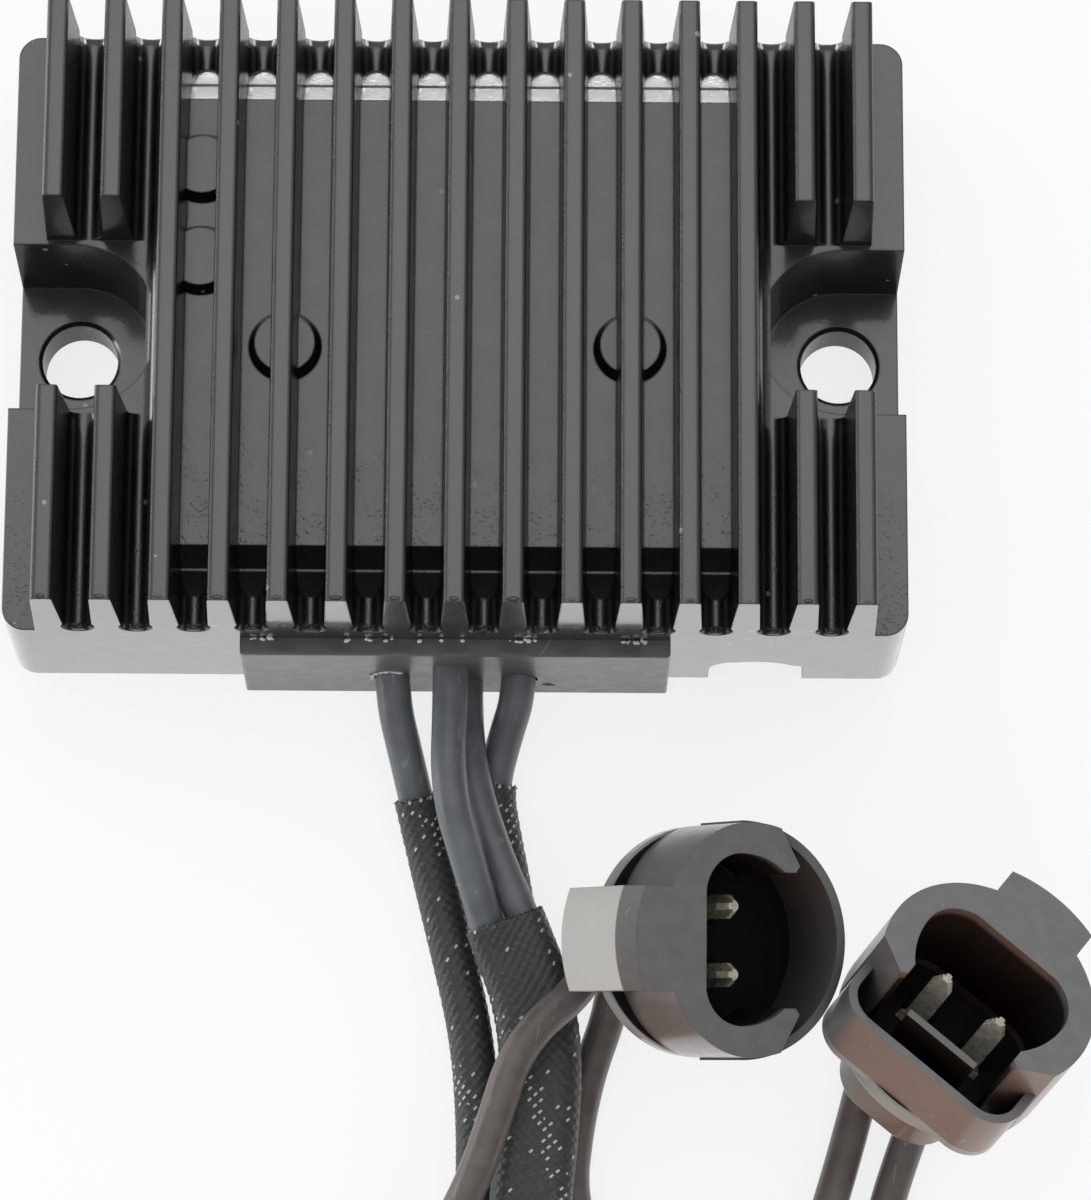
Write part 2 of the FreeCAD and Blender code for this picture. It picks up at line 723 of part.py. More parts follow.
def plug_housing(plug):
    """The moulded housing: collar, lower wall, flange, neck and tab, open at the mouth and the rear."""
    floor = plug_floor
    rim = plug["rim_depth"]
    wall_bottom = box_wall_bottom if plug["boxed"] else flange_top + 0.1
    collar = prism(collar_outline(plug), 0, floor).cut(beyond_collar(plug, -1, floor + 1))
    wall = low_wall_body(plug, 0, rim, wall_bottom).cut(low_wall_body(plug, low_wall, rim - 1, floor + 1))
    wall = wall.common(prism(polyline([(0, -20), (0, 20), (-20, 20), (-20, -20)]), rim - 1, floor + 1))
    flange = Part.makeCylinder(flange_radius, flange_bottom - flange_top, Vector(0, 0, -flange_bottom))
    ring_edges = [e for e in flange.Edges if e.Curve.TypeId == "Part::GeomCircle"]
    flange = flange.makeFillet(0.5, ring_edges)
    neck = oval(neck_half_width, neck_half_depth, flange_bottom - 0.5, plug_length)
    end_edges = [e for e in neck.Edges if e.BoundBox.ZMax < -plug_length + 0.01]
    neck = neck.makeFillet(0.6, end_edges)
    body = collar.fuse([wall, flange, neck, key_tab(plug)])
    inner_space = mating_cavity(plug, -1, floor)
    crescent = low_wall_body(plug, low_wall, -1, floor).common(beyond_collar(plug, -1, floor))
    cuts = [inner_space, crescent]
    for side in (-1, 1):
        v = side * lead_spacing / 2
        half = terminal_recess / 2
        cuts.append(Part.makeBox(terminal_recess, terminal_recess, terminal_recess_depth + 1,
                                 Vector(pin_place - half, v - half, -floor - terminal_recess_depth)))
        chamber = plug_length - floor - terminal_recess_depth + 1
        cuts.append(Part.makeCylinder(lead_diameter / 2 + lead_chamber_gap, chamber,
                                      Vector(0, v, -plug_length - 1)))
    cuts.append(oval(neck_half_width - seal_inset, neck_half_depth - seal_inset,
                     plug_length - seal_recess - seal_length, plug_length + 1))
    body = body.cut(cuts)
    if plug["boxed"]:
        rib = Part.makeBox(rib_thickness, 2 * rib_half_length, floor - rib_top + 0.5,
                           Vector(-rib_place - rib_thickness / 2, -rib_half_length, -floor - 0.5))
        body = body.fuse(rib)
    return placed(plug, body.removeSplitter())


def plug_seal(plug):
    """The rubber seal in the neck, around both leads."""
    rear = plug_length - seal_recess
    seal = oval(neck_half_width - seal_inset, neck_half_depth - seal_inset, rear - seal_length, rear)
    holes = [
        Part.makeCylinder(lead_diameter / 2, seal_length + 2, Vector(0, side * lead_spacing / 2, -rear - 1))
        for side in (-1, 1)
    ]
    return placed(plug, seal.cut(holes))


def plug_pin(plug, side):
    """One terminal: a folded blade on a round collar, held in the housing in front of the lead's end."""
    v = side * lead_spacing / 2
    seat = plug_floor + terminal_recess_depth
    collar = Part.makeCylinder(lead_diameter / 2 + lead_chamber_gap, pin_collar_length,
                               Vector(0, v, -seat - pin_collar_length))
    barrel = Part.makeCylinder(pin_barrel_radius, lead_end_depth - seat - pin_collar_length,
                               Vector(0, v, -lead_end_depth))
    half = pin_width / 2
    u = pin_place
    blade = prism(polyline([
        (u - pin_sheet / 2, v - half), (u + pin_sheet / 2, v - half),
        (u + pin_sheet / 2, v + half), (u - pin_sheet / 2, v + half),
    ]), pin_tip, seat)
    fold = prism(polyline([
        (u, v - pin_sheet / 2), (u + 1.8, v - pin_sheet / 2), (u + 1.8, v + pin_sheet / 2), (u, v + pin_sheet / 2),
    ]), pin_tip, seat)
    point = Part.makeCone(0.7, 2.6, 4.0, Vector(u + 0.3, v, -pin_tip), Vector(0, 0, -1))
    stem = Part.makeCylinder(2.6, seat - pin_tip - 4.0, Vector(u + 0.3, v, -seat))
    blade = blade.fuse(fold).common(point.fuse(stem))
    return placed(plug, collar.fuse([barrel, blade]).removeSplitter())


def beside(middle, offset):
    """Points at one distance to the side of a middle line, level with it."""
    points = [Vector(*p) for p in middle]
    moved = []
    for index, point in enumerate(points):
        before = points[max(index - 1, 0)]
        after = points[min(index + 1, len(points) - 1)]
        one = Vector((point - before).x, (point - before).y, 0)
        two = Vector((after - point).x, (after - point).y, 0)
        one = one.normalize() if one.Length > 0 else two.normalize()
        two = two.normalize() if two.Length > 0 else one
        across = Vector(one.y + two.y, -one.x - two.x, 0).normalize()
        reach = offset / math.sqrt((1 + one.dot(two)) / 2)
        moved.append(tuple(point + across * reach))
    return moved


def lead_points(name):
    """Every point of a lead's route, from its inner end to its pin."""
    x, z = lead_exits[name]
    plug_name, side = lead_ends[name]
    plug = plugs[plug_name]
    v = side * lead_spacing / 2
    half = pair_spacing / 2
    middle = {
        "left": left_route,
        "right": right_route,
        "upper": upper_start + beside(pair_middle, half)[1:] + upper_end,
        "lower": lower_start + beside(pair_middle, -half)[1:] + lower_end,
    }[name]
    ends = [tuple(plug_point(plug, 0, v, plug_length + last_bend)), tuple(plug_point(plug, 0, v, lead_end_depth))]
    return [(x, lead_inner_end, z), (x, lead_first_bend, z)] + middle + ends


def cord_path(points, diameter):
    """Straight runs joined by tangent arcs, each as large as its two runs allow."""
    points = [Vector(*p) for p in points]
    edges = []
    radii = []
    here = points[0]
    for before, point, after in zip(points, points[1:], points[2:]):
        one = before - point
        two = after - point
        turn = math.pi - one.getAngle(two)
        trim = 0.45 * min(one.Length, two.Length)
        radius = trim / math.tan(turn / 2)
        radii.append(radius)
        one.normalize()
        two.normalize()
        start = point + one * trim
        end = point + two * trim
        inward = (one + two).normalize()
        middle = point + inward * (radius / math.cos(turn / 2) - radius)
        edges.append(Part.LineSegment(here, start).toShape())
        edges.append(Part.Arc(start, middle, end).toShape())
        here = end
    edges.append(Part.LineSegment(here, points[-1]).toShape())
    print("   length", round(sum(e.Length for e in edges), 1),
          "radii in diameters", [round(r / diameter, 1) for r in radii])
    return edges


def stretch_of(edges, start, end):
    """The part of a path between two lengths along it."""
    kept = []
    done = 0.0
    for edge in edges:
        low = max(start - done, 0.0)
        high = min(end - done, edge.Length)
        if high - low > 0.001:
            kept.append(edge.Curve.toShape(edge.getParameterByLength(low), edge.getParameterByLength(high)))
        done += edge.Length
    return kept


def tube(edges, radius):
    """A round tube along a path."""
    along = edges[0].tangentAt(edges[0].FirstParameter)
    ring = Part.Wire(Part.makeCircle(radius, edges[0].valueAt(edges[0].FirstParameter), along))
    solid = Part.Wire(edges).makePipeShell([ring], True, False)
    length = sum(e.Length for e in edges)
    print("   volume against section times length", round(solid.Volume / (math.pi * radius ** 2 * length), 4))
    return solid


def single_sleeve(edges, span):
    """The sleeve on one lead."""
    kept = stretch_of(edges, *span)
    bore = lead_diameter / 2 + sleeve_bore_gap
    return tube(kept, bore + sleeve_wall).cut(tube(stretch_of(edges, span[0] - 1, span[1] + 1), bore))


def pair_sleeve(paths):
    """The flat sleeve round two leads that lie side by side."""
    middle = stretch_of(cord_path(pair_middle, lead_diameter), *sleeve_stretches["pair"])
    bore = lead_diameter / 2 + sleeve_bore_gap
    outer = bore + sleeve_wall
    start = middle[0].valueAt(middle[0].FirstParameter)
    along = middle[0].tangentAt(middle[0].FirstParameter)
    across = Vector(along.y, -along.x, 0).normalize()
    up = across.cross(along).normalize()
    half = across * (pair_spacing / 2)
    rise = up * outer
    side = across * outer
    outline = Part.Wire([
        Part.LineSegment(start - half + rise, start + half + rise).toShape(),
        Part.Arc(start + half + rise, start + half + side, start + half - rise).toShape(),
        Part.LineSegment(start + half - rise, start - half - rise).toShape(),
        Part.Arc(start - half - rise, start - half - side, start - half + rise).toShape(),
    ])
    solid = Part.Wire(middle).makePipeShell([outline], True, False)
    for edges in paths:
        solid = solid.cut(tube(stretch_of(edges, 38.0, 96.0), bore))
    return solid


if __name__ == "__main__":
    sink = heat_sink()
    save("heat_sink", sink)
    save("lead_exit_block", lead_exit_block())
    save("circuit_board", circuit_board())
    names = ("thyristor_left", "diode_left", "diode_right", "thyristor_right")
    devices = [power_device(x, y) for x, y in device_places]
    for name, device in zip(names, devices):
        save(name, device)
    small = {
        "thermal_pads": thermal_pads(),
        "clamp_screws": clamp_screws(),
        "filter_capacitor": filter_capacitor(),
        "control_transistor": control_transistor(),
        "zener_diode": zener_diode(),
        "sense_resistors": sense_resistors(),
    }
    for name, shape in small.items():
        save(name, shape)
    inside = [circuit_board()] + devices
    for shape in small.values():
        inside += shape.Solids
    save("potting_compound", potting_compound(inside))
    paths = {}
    for name in lead_exits:
        print("lead", name)
        paths[name] = cord_path(lead_points(name), lead_diameter)
        save("lead_" + name, tube(paths[name], lead_diameter / 2))
    for name in ("left", "right"):
        save("sleeve_" + name, single_sleeve(paths[name], sleeve_stretches[name]))
    save("sleeve_pair", pair_sleeve([paths["upper"], paths["lower"]]))
    for name, plug in plugs.items():
        save(name + "_plug_housing", plug_housing(plug))
        save(name + "_plug_seal", plug_seal(plug))
        for number, side in ((1, -1), (2, 1)):
            save(name + "_plug_pin_" + str(number), plug_pin(plug, side))
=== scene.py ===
# %% [markdown]
# # A finned voltage regulator with four leads and two plugs
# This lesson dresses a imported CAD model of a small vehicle's voltage regulator. The casting, the block, the
# plugs and the hidden electronics come from the CAD frame and keep their shape. Here they get their
# finishes, and the soft pieces, the leads and their braided sleeves, are built as curves and fine meshes.

# %% Load the frame
import math
import random

import bmesh
import bpy
from mathutils import Matrix, Vector


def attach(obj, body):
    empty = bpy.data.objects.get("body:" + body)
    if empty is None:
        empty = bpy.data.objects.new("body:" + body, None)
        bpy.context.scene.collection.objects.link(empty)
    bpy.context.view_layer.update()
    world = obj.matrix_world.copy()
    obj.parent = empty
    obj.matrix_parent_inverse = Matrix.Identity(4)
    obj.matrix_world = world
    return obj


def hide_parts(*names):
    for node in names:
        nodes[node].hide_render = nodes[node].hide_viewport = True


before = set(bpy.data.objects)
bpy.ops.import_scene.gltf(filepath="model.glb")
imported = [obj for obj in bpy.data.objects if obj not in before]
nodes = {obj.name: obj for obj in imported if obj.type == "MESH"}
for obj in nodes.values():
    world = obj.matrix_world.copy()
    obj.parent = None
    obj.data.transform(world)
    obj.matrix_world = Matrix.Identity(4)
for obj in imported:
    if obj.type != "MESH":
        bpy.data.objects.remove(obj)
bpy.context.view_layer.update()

mm = 0.001

# %% [markdown]
# ## Camera
# The photograph looks steeply down on the fins. A camera was fitted to the casting's known edges, which
# gives the point it looks at, its direction, a small roll and the focal length in pixels of a picture 1200
# pixels high. Blender's lens is that focal length scaled to the sensor's height.

# %% Camera
picture_height = 1200
sensor_height = 36
focal_pixels = 5605.8
target = Vector((11.72, -34.77, 15.0)) * mm
distance = 735.1 * mm
azimuth = math.radians(0.78)
elevation = math.radians(74.94)
roll = math.radians(1.16)

forward = Vector((math.sin(azimuth) * math.cos(elevation), math.cos(azimuth) * math.cos(elevation),
                  -math.sin(elevation)))
level_right = Vector((math.cos(azimuth), -math.sin(azimuth), 0))
level_up = level_right.cross(forward)
right = math.cos(roll) * level_right + math.sin(roll) * level_up
up = -math.sin(roll) * level_right + math.cos(roll) * level_up

camera_data = bpy.data.cameras.new("camera")
camera_data.sensor_fit = "VERTICAL"
camera_data.sensor_height = sensor_height
camera_data.lens = focal_pixels / picture_height * sensor_height
camera_data.clip_start = 0.05
camera_data.clip_end = 10
camera = bpy.data.objects.new("camera", camera_data)
bpy.context.scene.collection.objects.link(camera)
place = Matrix((right, up, -forward)).transposed().to_4x4()
place.translation = target - forward * distance
camera.matrix_world = place
bpy.context.scene.camera = camera
print("camera lens", round(camera_data.lens, 1), "mm at", [round(v, 3) for v in camera.location])

# %% [markdown]
# ## Routes of the leads
# Each lead is one piece of stranded wire in a rubber jacket. Its line is a NURBS spline whose control points
# are the corners of the CAD route, so it rounds them as a springy wire does. Two leads go to the left plug
# and make a loop each. The other two lie side by side in one flat sleeve and turn back to the right plug.

# %% Control points, in millimetres
lead_diameter = 4.6
block_face = -43.6
routes = {
    "lead_left": [
        (-8.6, -36.0, 8.6), (-8.6, -45.6, 8.6), (-6.3, -54.6, 6.2), (-4.1, -63.4, 3.2), (-2.1, -71.6, 3.0),
        (0.1, -80.4, 3.0), (2.4, -90.2, 3.0), (3.4, -100.6, 3.0), (3.5, -111.4, 3.0), (3.2, -122.4, 3.0),
        (2.4, -134.0, 2.6), (2.2, -145.6, 2.5), (2.0, -157.0, 2.5), (-4.1, -165.2, 2.5),
        (-14.0, -168.0, 2.5), (-23.9, -165.2, 2.5), (-30.0, -157.0, 2.5), (-30.0, -146.8, 2.5),
        (-24.6, -138.4, 3.4), (-16.4, -132.2, 6.6), (-8.0, -126.2, 10.0), (-1.2, -119.4, 12.8),
        (3.2, -111.0, 14.8), (5.8, -103.0, 14.9), (7.8, -96.2, 14.9), (11.2, -91.2, 15.2),
        (15.6, -87.4, 14.5), (17.7, -83.2, 10.3), (18.3, -79.3, 8.4), (20.6, -76.4, 9.1),
        (22.96, -75.5, 11.42), (24.91, -76.17, 15.07),
    ],
    "lead_right": [
        (8.5, -36.0, 7.6), (8.5, -45.2, 7.6), (6.5, -51.0, 5.0), (4.8, -57.6, 3.1), (5.9, -64.0, 3.0),
        (7.4, -71.4, 3.0), (8.7, -80.0, 3.0), (9.2, -89.6, 3.0), (9.6, -99.8, 3.0), (9.6, -110.2, 3.0),
        (9.4, -120.8, 3.0), (8.8, -132.0, 2.6), (8.4, -143.6, 2.5), (8.5, -155.2, 2.5), (14.5, -163.6, 2.5),
        (24.2, -166.8, 2.5), (34.1, -163.6, 2.5), (40.2, -155.2, 2.5), (40.2, -144.8, 2.5),
        (33.4, -136.6, 2.5), (25.4, -129.6, 2.5), (18.6, -121.0, 2.5), (15.3, -111.6, 2.5),
        (16.2, -102.6, 2.5), (17.9, -94.8, 2.5), (20.2, -88.6, 3.6), (20.8, -85.3, 6.0),
        (22.96, -83.97, 9.88), (24.91, -84.63, 13.54),
    ],
}
print("routes so far", {name: len(points) for name, points in routes.items()})

# %% [markdown]
# The pair lies flat in its sleeve, so both wires keep the same distance from one middle line. Their control
# points there are that line's own points, moved half the spacing to each side.

# %% Control points of the pair
spacing = 4.9
pair_line = [
    (7.3, -78.4, 9.6), (10.1, -85.2, 9.15), (11.6, -93.6, 9.15), (11.2, -103.4, 9.15), (10.2, -113.2, 9.15),
    (10.2, -123.4, 9.1), (12.9, -134.0, 8.6), (19.8, -142.0, 8.2), (30.4, -144.8, 8.0), (41.2, -142.4, 7.6),
]


def beside(line, shift):
    """A line's points, moved sideways in plan, to its left for a shift above zero."""
    moved = []
    for i, (x, y, z) in enumerate(line):
        before = line[max(i - 1, 0)]
        after = line[min(i + 1, len(line) - 1)]
        dx, dy = after[0] - before[0], after[1] - before[1]
        run = math.hypot(dx, dy)
        moved.append((x - dy / run * shift, y + dx / run * shift, z))
    return moved


routes["lead_upper"] = [
    (-0.7, -36.0, 11.8), (-0.7, -48.0, 12.6), (-0.9, -60.4, 14.2), (2.2, -70.4, 12.8),
    *beside(pair_line, -spacing / 2),
    (50.2, -138.8, 5.4), (54.2, -130.4, 3.0), (54.4, -120.8, 2.5), (56.4, -112.6, 2.5), (58.7, -105.6, 2.5),
    (60.24, -101.66, 4.23), (61.7, -100.27, 7.92),
]
routes["lead_lower"] = [
    (1.2, -36.0, 5.0), (1.2, -45.6, 5.0), (1.8, -55.0, 7.6), (4.5, -65.4, 9.0),
    *beside(pair_line, spacing / 2),
    (46.0, -134.6, 5.2), (47.6, -126.2, 3.0), (47.6, -117.2, 2.5), (50.3, -108.6, 2.5), (52.5, -100.6, 3.0),
    (53.6, -96.23, 4.82), (55.05, -94.85, 8.5),
]
print("all routes", {name: len(points) for name, points in routes.items()})

# %% [markdown]
# ## The leads
# A curve object with a round bevel is the plainest way to make wire: the spline is the route and the bevel
# is the jacket. The order of the spline is set after its points, so that it is curved and still ends at its
# last points.

# %% Lead curves
def spline_curve(name, points, radius):
    """A curve object through a lead's control points, round when it has a radius."""
    data = bpy.data.curves.new(name, "CURVE")
    data.dimensions = "3D"
    spline = data.splines.new("NURBS")
    spline.points.add(len(points) - 1)
    for control, place in zip(spline.points, points):
        control.co = (*(Vector(place) * mm), 1)
        control.radius = radius * mm
    spline.order_u = 3
    spline.use_endpoint_u = True
    spline.resolution_u = 16
    data.bevel_depth = 1.0 if radius > 0 else 0.0
    data.bevel_resolution = 7
    data.use_fill_caps = radius > 0
    return bpy.data.objects.new(name, data)


def show(obj):
    """Puts an object in the scene and hands it back."""
    bpy.context.scene.collection.objects.link(obj)
    return obj


wires = {}
for name, points in routes.items():
    wire = show(spline_curve("wire_" + name[5:], points, lead_diameter / 2))
    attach(wire, "root")
    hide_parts(name)
    wires[name] = wire
print("wires", list(wires))

# %% [markdown]
# ## Lines to build on
# The sleeves follow the wires, so they are built on the wires' own lines. Blender turns a curve with no
# bevel into a row of points, and a helper spaces them evenly and gives each one a direction.

# %% Even points along a wire
def line_points(points):
    """Points of the spline itself, in metres."""
    bare = spline_curve("bare_line", points, 0)
    show(bare)
    mesh = bpy.data.meshes.new_from_object(bare)
    places = [v.co.copy() for v in mesh.vertices]
    bpy.data.objects.remove(bare)
    bpy.data.meshes.remove(mesh)
    return places


def even(places, start, end, step):
    """Points at one spacing between two lengths along a line, all in metres."""
    lengths = [0.0]
    for a, b in zip(places, places[1:]):
        lengths.append(lengths[-1] + (b - a).length)
    count = max(2, round((end - start) / step))
    kept = []
    index = 0
    for k in range(count + 1):
        wanted = start + (end - start) * k / count
        while index < len(places) - 2 and lengths[index + 1] < wanted:
            index += 1
        share = (wanted - lengths[index]) / (lengths[index + 1] - lengths[index])
        kept.append(places[index].lerp(places[index + 1], share))
    return kept


def directions(places):
    """The direction of a line at each of its points."""
    last = len(places) - 1
    return [(places[min(i + 1, last)] - places[max(i - 1, 0)]).normalized() for i in range(len(places))]


lines = {name: line_points(points) for name, points in routes.items()}

past_block = 40
upper_part, lower_part = lines["lead_upper"][past_block:], lines["lead_lower"][past_block:]
gap = min((a - b).length for a in upper_part for b in lower_part)
print("closest middles of the pair", round(gap / mm, 2), "mm for a diameter of", lead_diameter)

# %% [markdown]
# ## Braided sleeves
# Glass-fibre sleeving is a tube of flat strands that cross each other in two directions. At this size the
# crossing strands show as small diamonds, so the braid is real relief: every point of the tube moves out by
# a height that comes from two families of helices. Inside there is a plain bore, and the two ends are closed
# by rims.

# %% Braid relief
strand_width = 1.05
strand_pitch = strand_width * math.sqrt(2)
braid_height = 0.22
middle_height = 0.8
crossed_share = 0.35
ragged_end = 0.5
bore_row_step = 6


def braid(across, along):
    """Height of the braid, from 0 to 1, at a place on the unrolled sleeve, both in millimetres."""
    a = (across + along) / (strand_width * 1.414)
    b = (across - along) / (strand_width * 1.414)
    ridge_a = math.sqrt(max(0.0, 1 - (2 * (a % 1) - 1) ** 2))
    ridge_b = math.sqrt(max(0.0, 1 - (2 * (b % 1) - 1) ** 2))
    over = 1 if (math.floor(a) + math.floor(b)) % 2 else -1
    lift_a = 0.5 + 0.5 * over * math.sin(math.pi * (b % 1))
    lift_b = 0.5 - 0.5 * over * math.sin(math.pi * (a % 1))
    raised = 1 - crossed_share
    return max(ridge_a * (crossed_share + raised * lift_a), ridge_b * (crossed_share + raised * lift_b))


def ring_of(section, count):
    """Points of a stadium or a circle at one spacing, with outward directions and places round the edge.
    The section is half the flat part and the radius of the ends."""
    half, radius = section
    straight = 2 * half
    bend = math.pi * radius
    total = 2 * (straight + bend)
    ring = []
    for k in range(count):
        run = total * k / count
        if run < straight:
            ring.append((-half + run, radius, 0.0, 1.0, run))
        elif run < straight + bend:
            turn = (run - straight) / radius
            ring.append((half + radius * math.sin(turn), radius * math.cos(turn), math.sin(turn),
                         math.cos(turn), run))
        elif run < 2 * straight + bend:
            ring.append((half - (run - straight - bend), -radius, 0.0, -1.0, run))
        else:
            turn = (run - 2 * straight - bend) / radius
            ring.append((-half - radius * math.sin(turn), -radius * math.cos(turn), -math.sin(turn),
                         -math.cos(turn), run))
    return ring, total


def sleeve_mesh(name, centres, sides, outer, inner, around):
    """A braided tube along centres. sides gives the flat direction of its section at each centre."""
    along = directions(centres)
    ring, edge = ring_of(outer, around)
    bore, _ = ring_of(inner, around)
    stretch = round(edge / strand_pitch) * strand_pitch / edge
    rng = random.Random(around)
    notches = [rng.uniform(0, ragged_end) for _ in range(around)]
    verts, faces, uvs = [], [], []
    last = len(centres) - 1
    done = 0.0
    for i, centre in enumerate(centres):
        if i:
            done += (centre - centres[i - 1]).length / mm
        rise = sides[i].cross(along[i]).normalized()
        for k, (x, y, nx, ny, run) in enumerate(ring):
            lift = braid_height * (braid(run * stretch, done) - middle_height)
            shift = -notches[k] if i == 0 else notches[(k * 5) % around] if i == last else 0.0
            away = sides[i] * (x + nx * lift) + rise * (y + ny * lift)
            verts.append(centre + (away + along[i] * shift) * mm)
            uvs.append((run * stretch, done))
    for i in range(last):
        for k in range(around):
            n = (k + 1) % around
            faces.append((i * around + k, i * around + n, (i + 1) * around + n, (i + 1) * around + k))
    inner_rows = list(range(0, last, bore_row_step)) + [last]
    first = len(verts)
    for i in inner_rows:
        rise = sides[i].cross(along[i]).normalized()
        for x, y, nx, ny, run in bore:
            verts.append(centres[i] + (sides[i] * x + rise * y) * mm)
            uvs.append((run, i))
    for row in range(len(inner_rows) - 1):
        here = first + row * around
        for k in range(around):
            n = (k + 1) % around
            faces.append((here + k, here + around + k, here + around + n, here + n))
    final = first + (len(inner_rows) - 1) * around
    for k in range(around):
        n = (k + 1) % around
        faces.append((k, first + k, first + n, n))
        faces.append((last * around + k, last * around + n, final + n, final + k))
    mesh = bpy.data.meshes.new(name)
    mesh.from_pydata([tuple(v) for v in verts], [], faces)
    layer = mesh.uv_layers.new(name="braid")
    for loop in mesh.loops:
        layer.data[loop.index].uv = uvs[loop.vertex_index]
    mesh.polygons.foreach_set("use_smooth", [True] * len(mesh.polygons))
    mesh.update()
    return show(bpy.data.objects.new(name, mesh))


# %% [markdown]
# A single sleeve is round, so any side direction will do as long as it turns smoothly along the wire. The
# pair's sleeve is flat: its side direction is the line from one wire to the other, and its middle lies
# between them.

# %% The three sleeves
sleeve_bore = 2.5
sleeve_outer = 2.9
braid_step = 0.19
single_spans = {"lead_left": (24.2, 85.0), "lead_right": (22.4, 83.0)}
pair_span = (43.0, 80.0)
sleeves = {}


def steady_sides(centres):
    """A side direction for each centre that turns no more than the line does."""
    sides = []
    side = Vector((1, 0, 0))
    for direction in directions(centres):
        side = (side - direction * side.dot(direction)).normalized()
        sides.append(side.copy())
    return sides


for lead, (start, end) in single_spans.items():
    centres = even(lines[lead], start * mm, end * mm, braid_step * mm)
    name = lead.replace("lead", "braid")
    around = round(2 * math.pi * sleeve_outer / braid_step)
    sleeves[name] = sleeve_mesh(name, centres, steady_sides(centres), (0, sleeve_outer), (0, sleeve_bore),
                                around)
    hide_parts(lead.replace("lead", "sleeve"))

upper_line = even(lines["lead_upper"], pair_span[0] * mm, pair_span[1] * mm, braid_step * mm)
lower_line = lines["lead_lower"]
centres, sides = [], []
for place in upper_line:
    other = min(lower_line, key=lambda p: (p - place).length)
    at = lower_line.index(other)
    best = other
    for a, b in ((at - 1, at), (at, at + 1)):
        one, two = lower_line[a], lower_line[b]
        share = (place - one).dot(two - one) / (two - one).length_squared
        near = one.lerp(two, min(1, max(0, share)))
        if (near - place).length < (best - place).length:
            best = near
    centres.append((place + best) / 2)
    sides.append((best - place).normalized())
around = round((2 * spacing + 2 * math.pi * sleeve_outer) / braid_step)
sleeves["braid_pair"] = sleeve_mesh("braid_pair", centres, sides, (spacing / 2, sleeve_outer),
                                    (spacing / 2, sleeve_bore), around)
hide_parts("sleeve_pair")
for name, sleeve in sleeves.items():
    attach(sleeve, "root")
    print(name, len(sleeve.data.polygons), "faces")

# %% [markdown]
# ## Small leftovers of the making
# Thick paint gathers in a bead at the front end of each groove and under the tip of each fin. Crumbs of pale
# resin lie along the block's top edge and round the left lead, a small black disc on the block's face is
# painted shade in place of a dent, and cut glass fibres stand out of the sleeves' mouths. Each is a tiny
# mesh: a ball that is squeezed and roughened, or a thin bent tube.

# %% Beads and crumbs
fin_pitch = 7.5
fin_count = 15
middle_fin = 7
casting_front = -41.3
block_top = 19.6
groove_bead = (-40.95, 22.45)
groove_drip = (-40.6, 22.6)
tip_bead = (-40.85, 37.85)
crumb_rows = ((7.0, 10.5, 9), (21.5, 25.0, 10), (-27.6, -24.0, 4), (-23, 6, 10))
ringed_exit = (-8.6, 8.6)
ring_radius = 2.45
ring_crumbs = 26
pit_shade_spots = [((11.8, block_face, 4.75), (0.85, 0.08, 0.6)), ((12.7, block_face, 4.4), (0.4, 0.06, 0.3))]
rng = random.Random(7)


def pebbles(name, items, rough):
    """One mesh of small squeezed balls. Each item is its middle and its three half sizes, in millimetres."""
    shape = bmesh.new()
    for middle, half in items:
        turn = Matrix.Rotation(rng.uniform(-0.6, 0.6) * rough, 4, "Z")
        size = Matrix.Diagonal((*[h * mm for h in half], 1))
        made = bmesh.ops.create_icosphere(shape, subdivisions=3, radius=1.0,
                                          matrix=Matrix.Translation(Vector(middle) * mm) @ turn @ size)
        for vert in made["verts"]:
            away = vert.co - Vector(middle) * mm
            vert.co += away * rng.uniform(-rough, rough) * 0.35
    mesh = bpy.data.meshes.new(name)
    shape.to_mesh(mesh)
    shape.free()
    mesh.polygons.foreach_set("use_smooth", [True] * len(mesh.polygons))
    piece = show(bpy.data.objects.new(name, mesh))
    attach(piece, "root")
    return piece


groove_ends = [(k - middle_fin) * fin_pitch + fin_pitch / 2 for k in range(fin_count - 1)]
bead_items = []
for x in groove_ends:
    bead_items.append(((x + rng.uniform(-0.2, 0.2), *groove_bead), (rng.uniform(1.1, 1.4), 0.32, 0.42)))
    bead_items.append(((x + rng.uniform(-0.9, 0.9), *groove_drip), (0.35, rng.uniform(0.3, 0.5), 0.3)))
for k in range(fin_count):
    bead_items.append((((k - middle_fin) * fin_pitch, *tip_bead),
                       (rng.uniform(0.8, 1.1), 0.4, rng.uniform(0.15, 0.3))))
paint_beads = pebbles("paint_beads", bead_items, 0.0)

crumb_items = []
for start, end, count in crumb_rows:
    for _ in range(count):
        size = rng.uniform(0.1, 0.28)
        crumb_items.append(
            ((rng.uniform(start, end), casting_front - rng.uniform(0.1, 0.4), block_top + size * 0.5),
             (size * rng.uniform(1.0, 2.0), size, size)))
exit_x, exit_z = ringed_exit
for k in range(ring_crumbs):
    angle = math.radians(200 - 150 * k / (ring_crumbs - 1))
    size = rng.uniform(0.08, 0.24)
    crumb_items.append(((exit_x + ring_radius * math.cos(angle), block_face - size * 0.6,
                         exit_z + ring_radius * math.sin(angle)), (size * 1.3, size, size)))
resin_crumbs = pebbles("resin_crumbs", crumb_items, 0.9)
# A black disc on the block's face: painted shade in place of a dent.
pit_shade_disc = pebbles("painted_pit_shade", pit_shade_spots, 0.3)
print("beads", len(bead_items), "crumbs", len(crumb_items))

# %% [markdown]
# The fibres start in the sleeve's wall at its mouth, point along the lead and bend away from it a little.

# %% Loose fibres
fibre_radius = 0.05
fibre_sides = 3
fibre_rows = 4
mouth_radius = 2.72


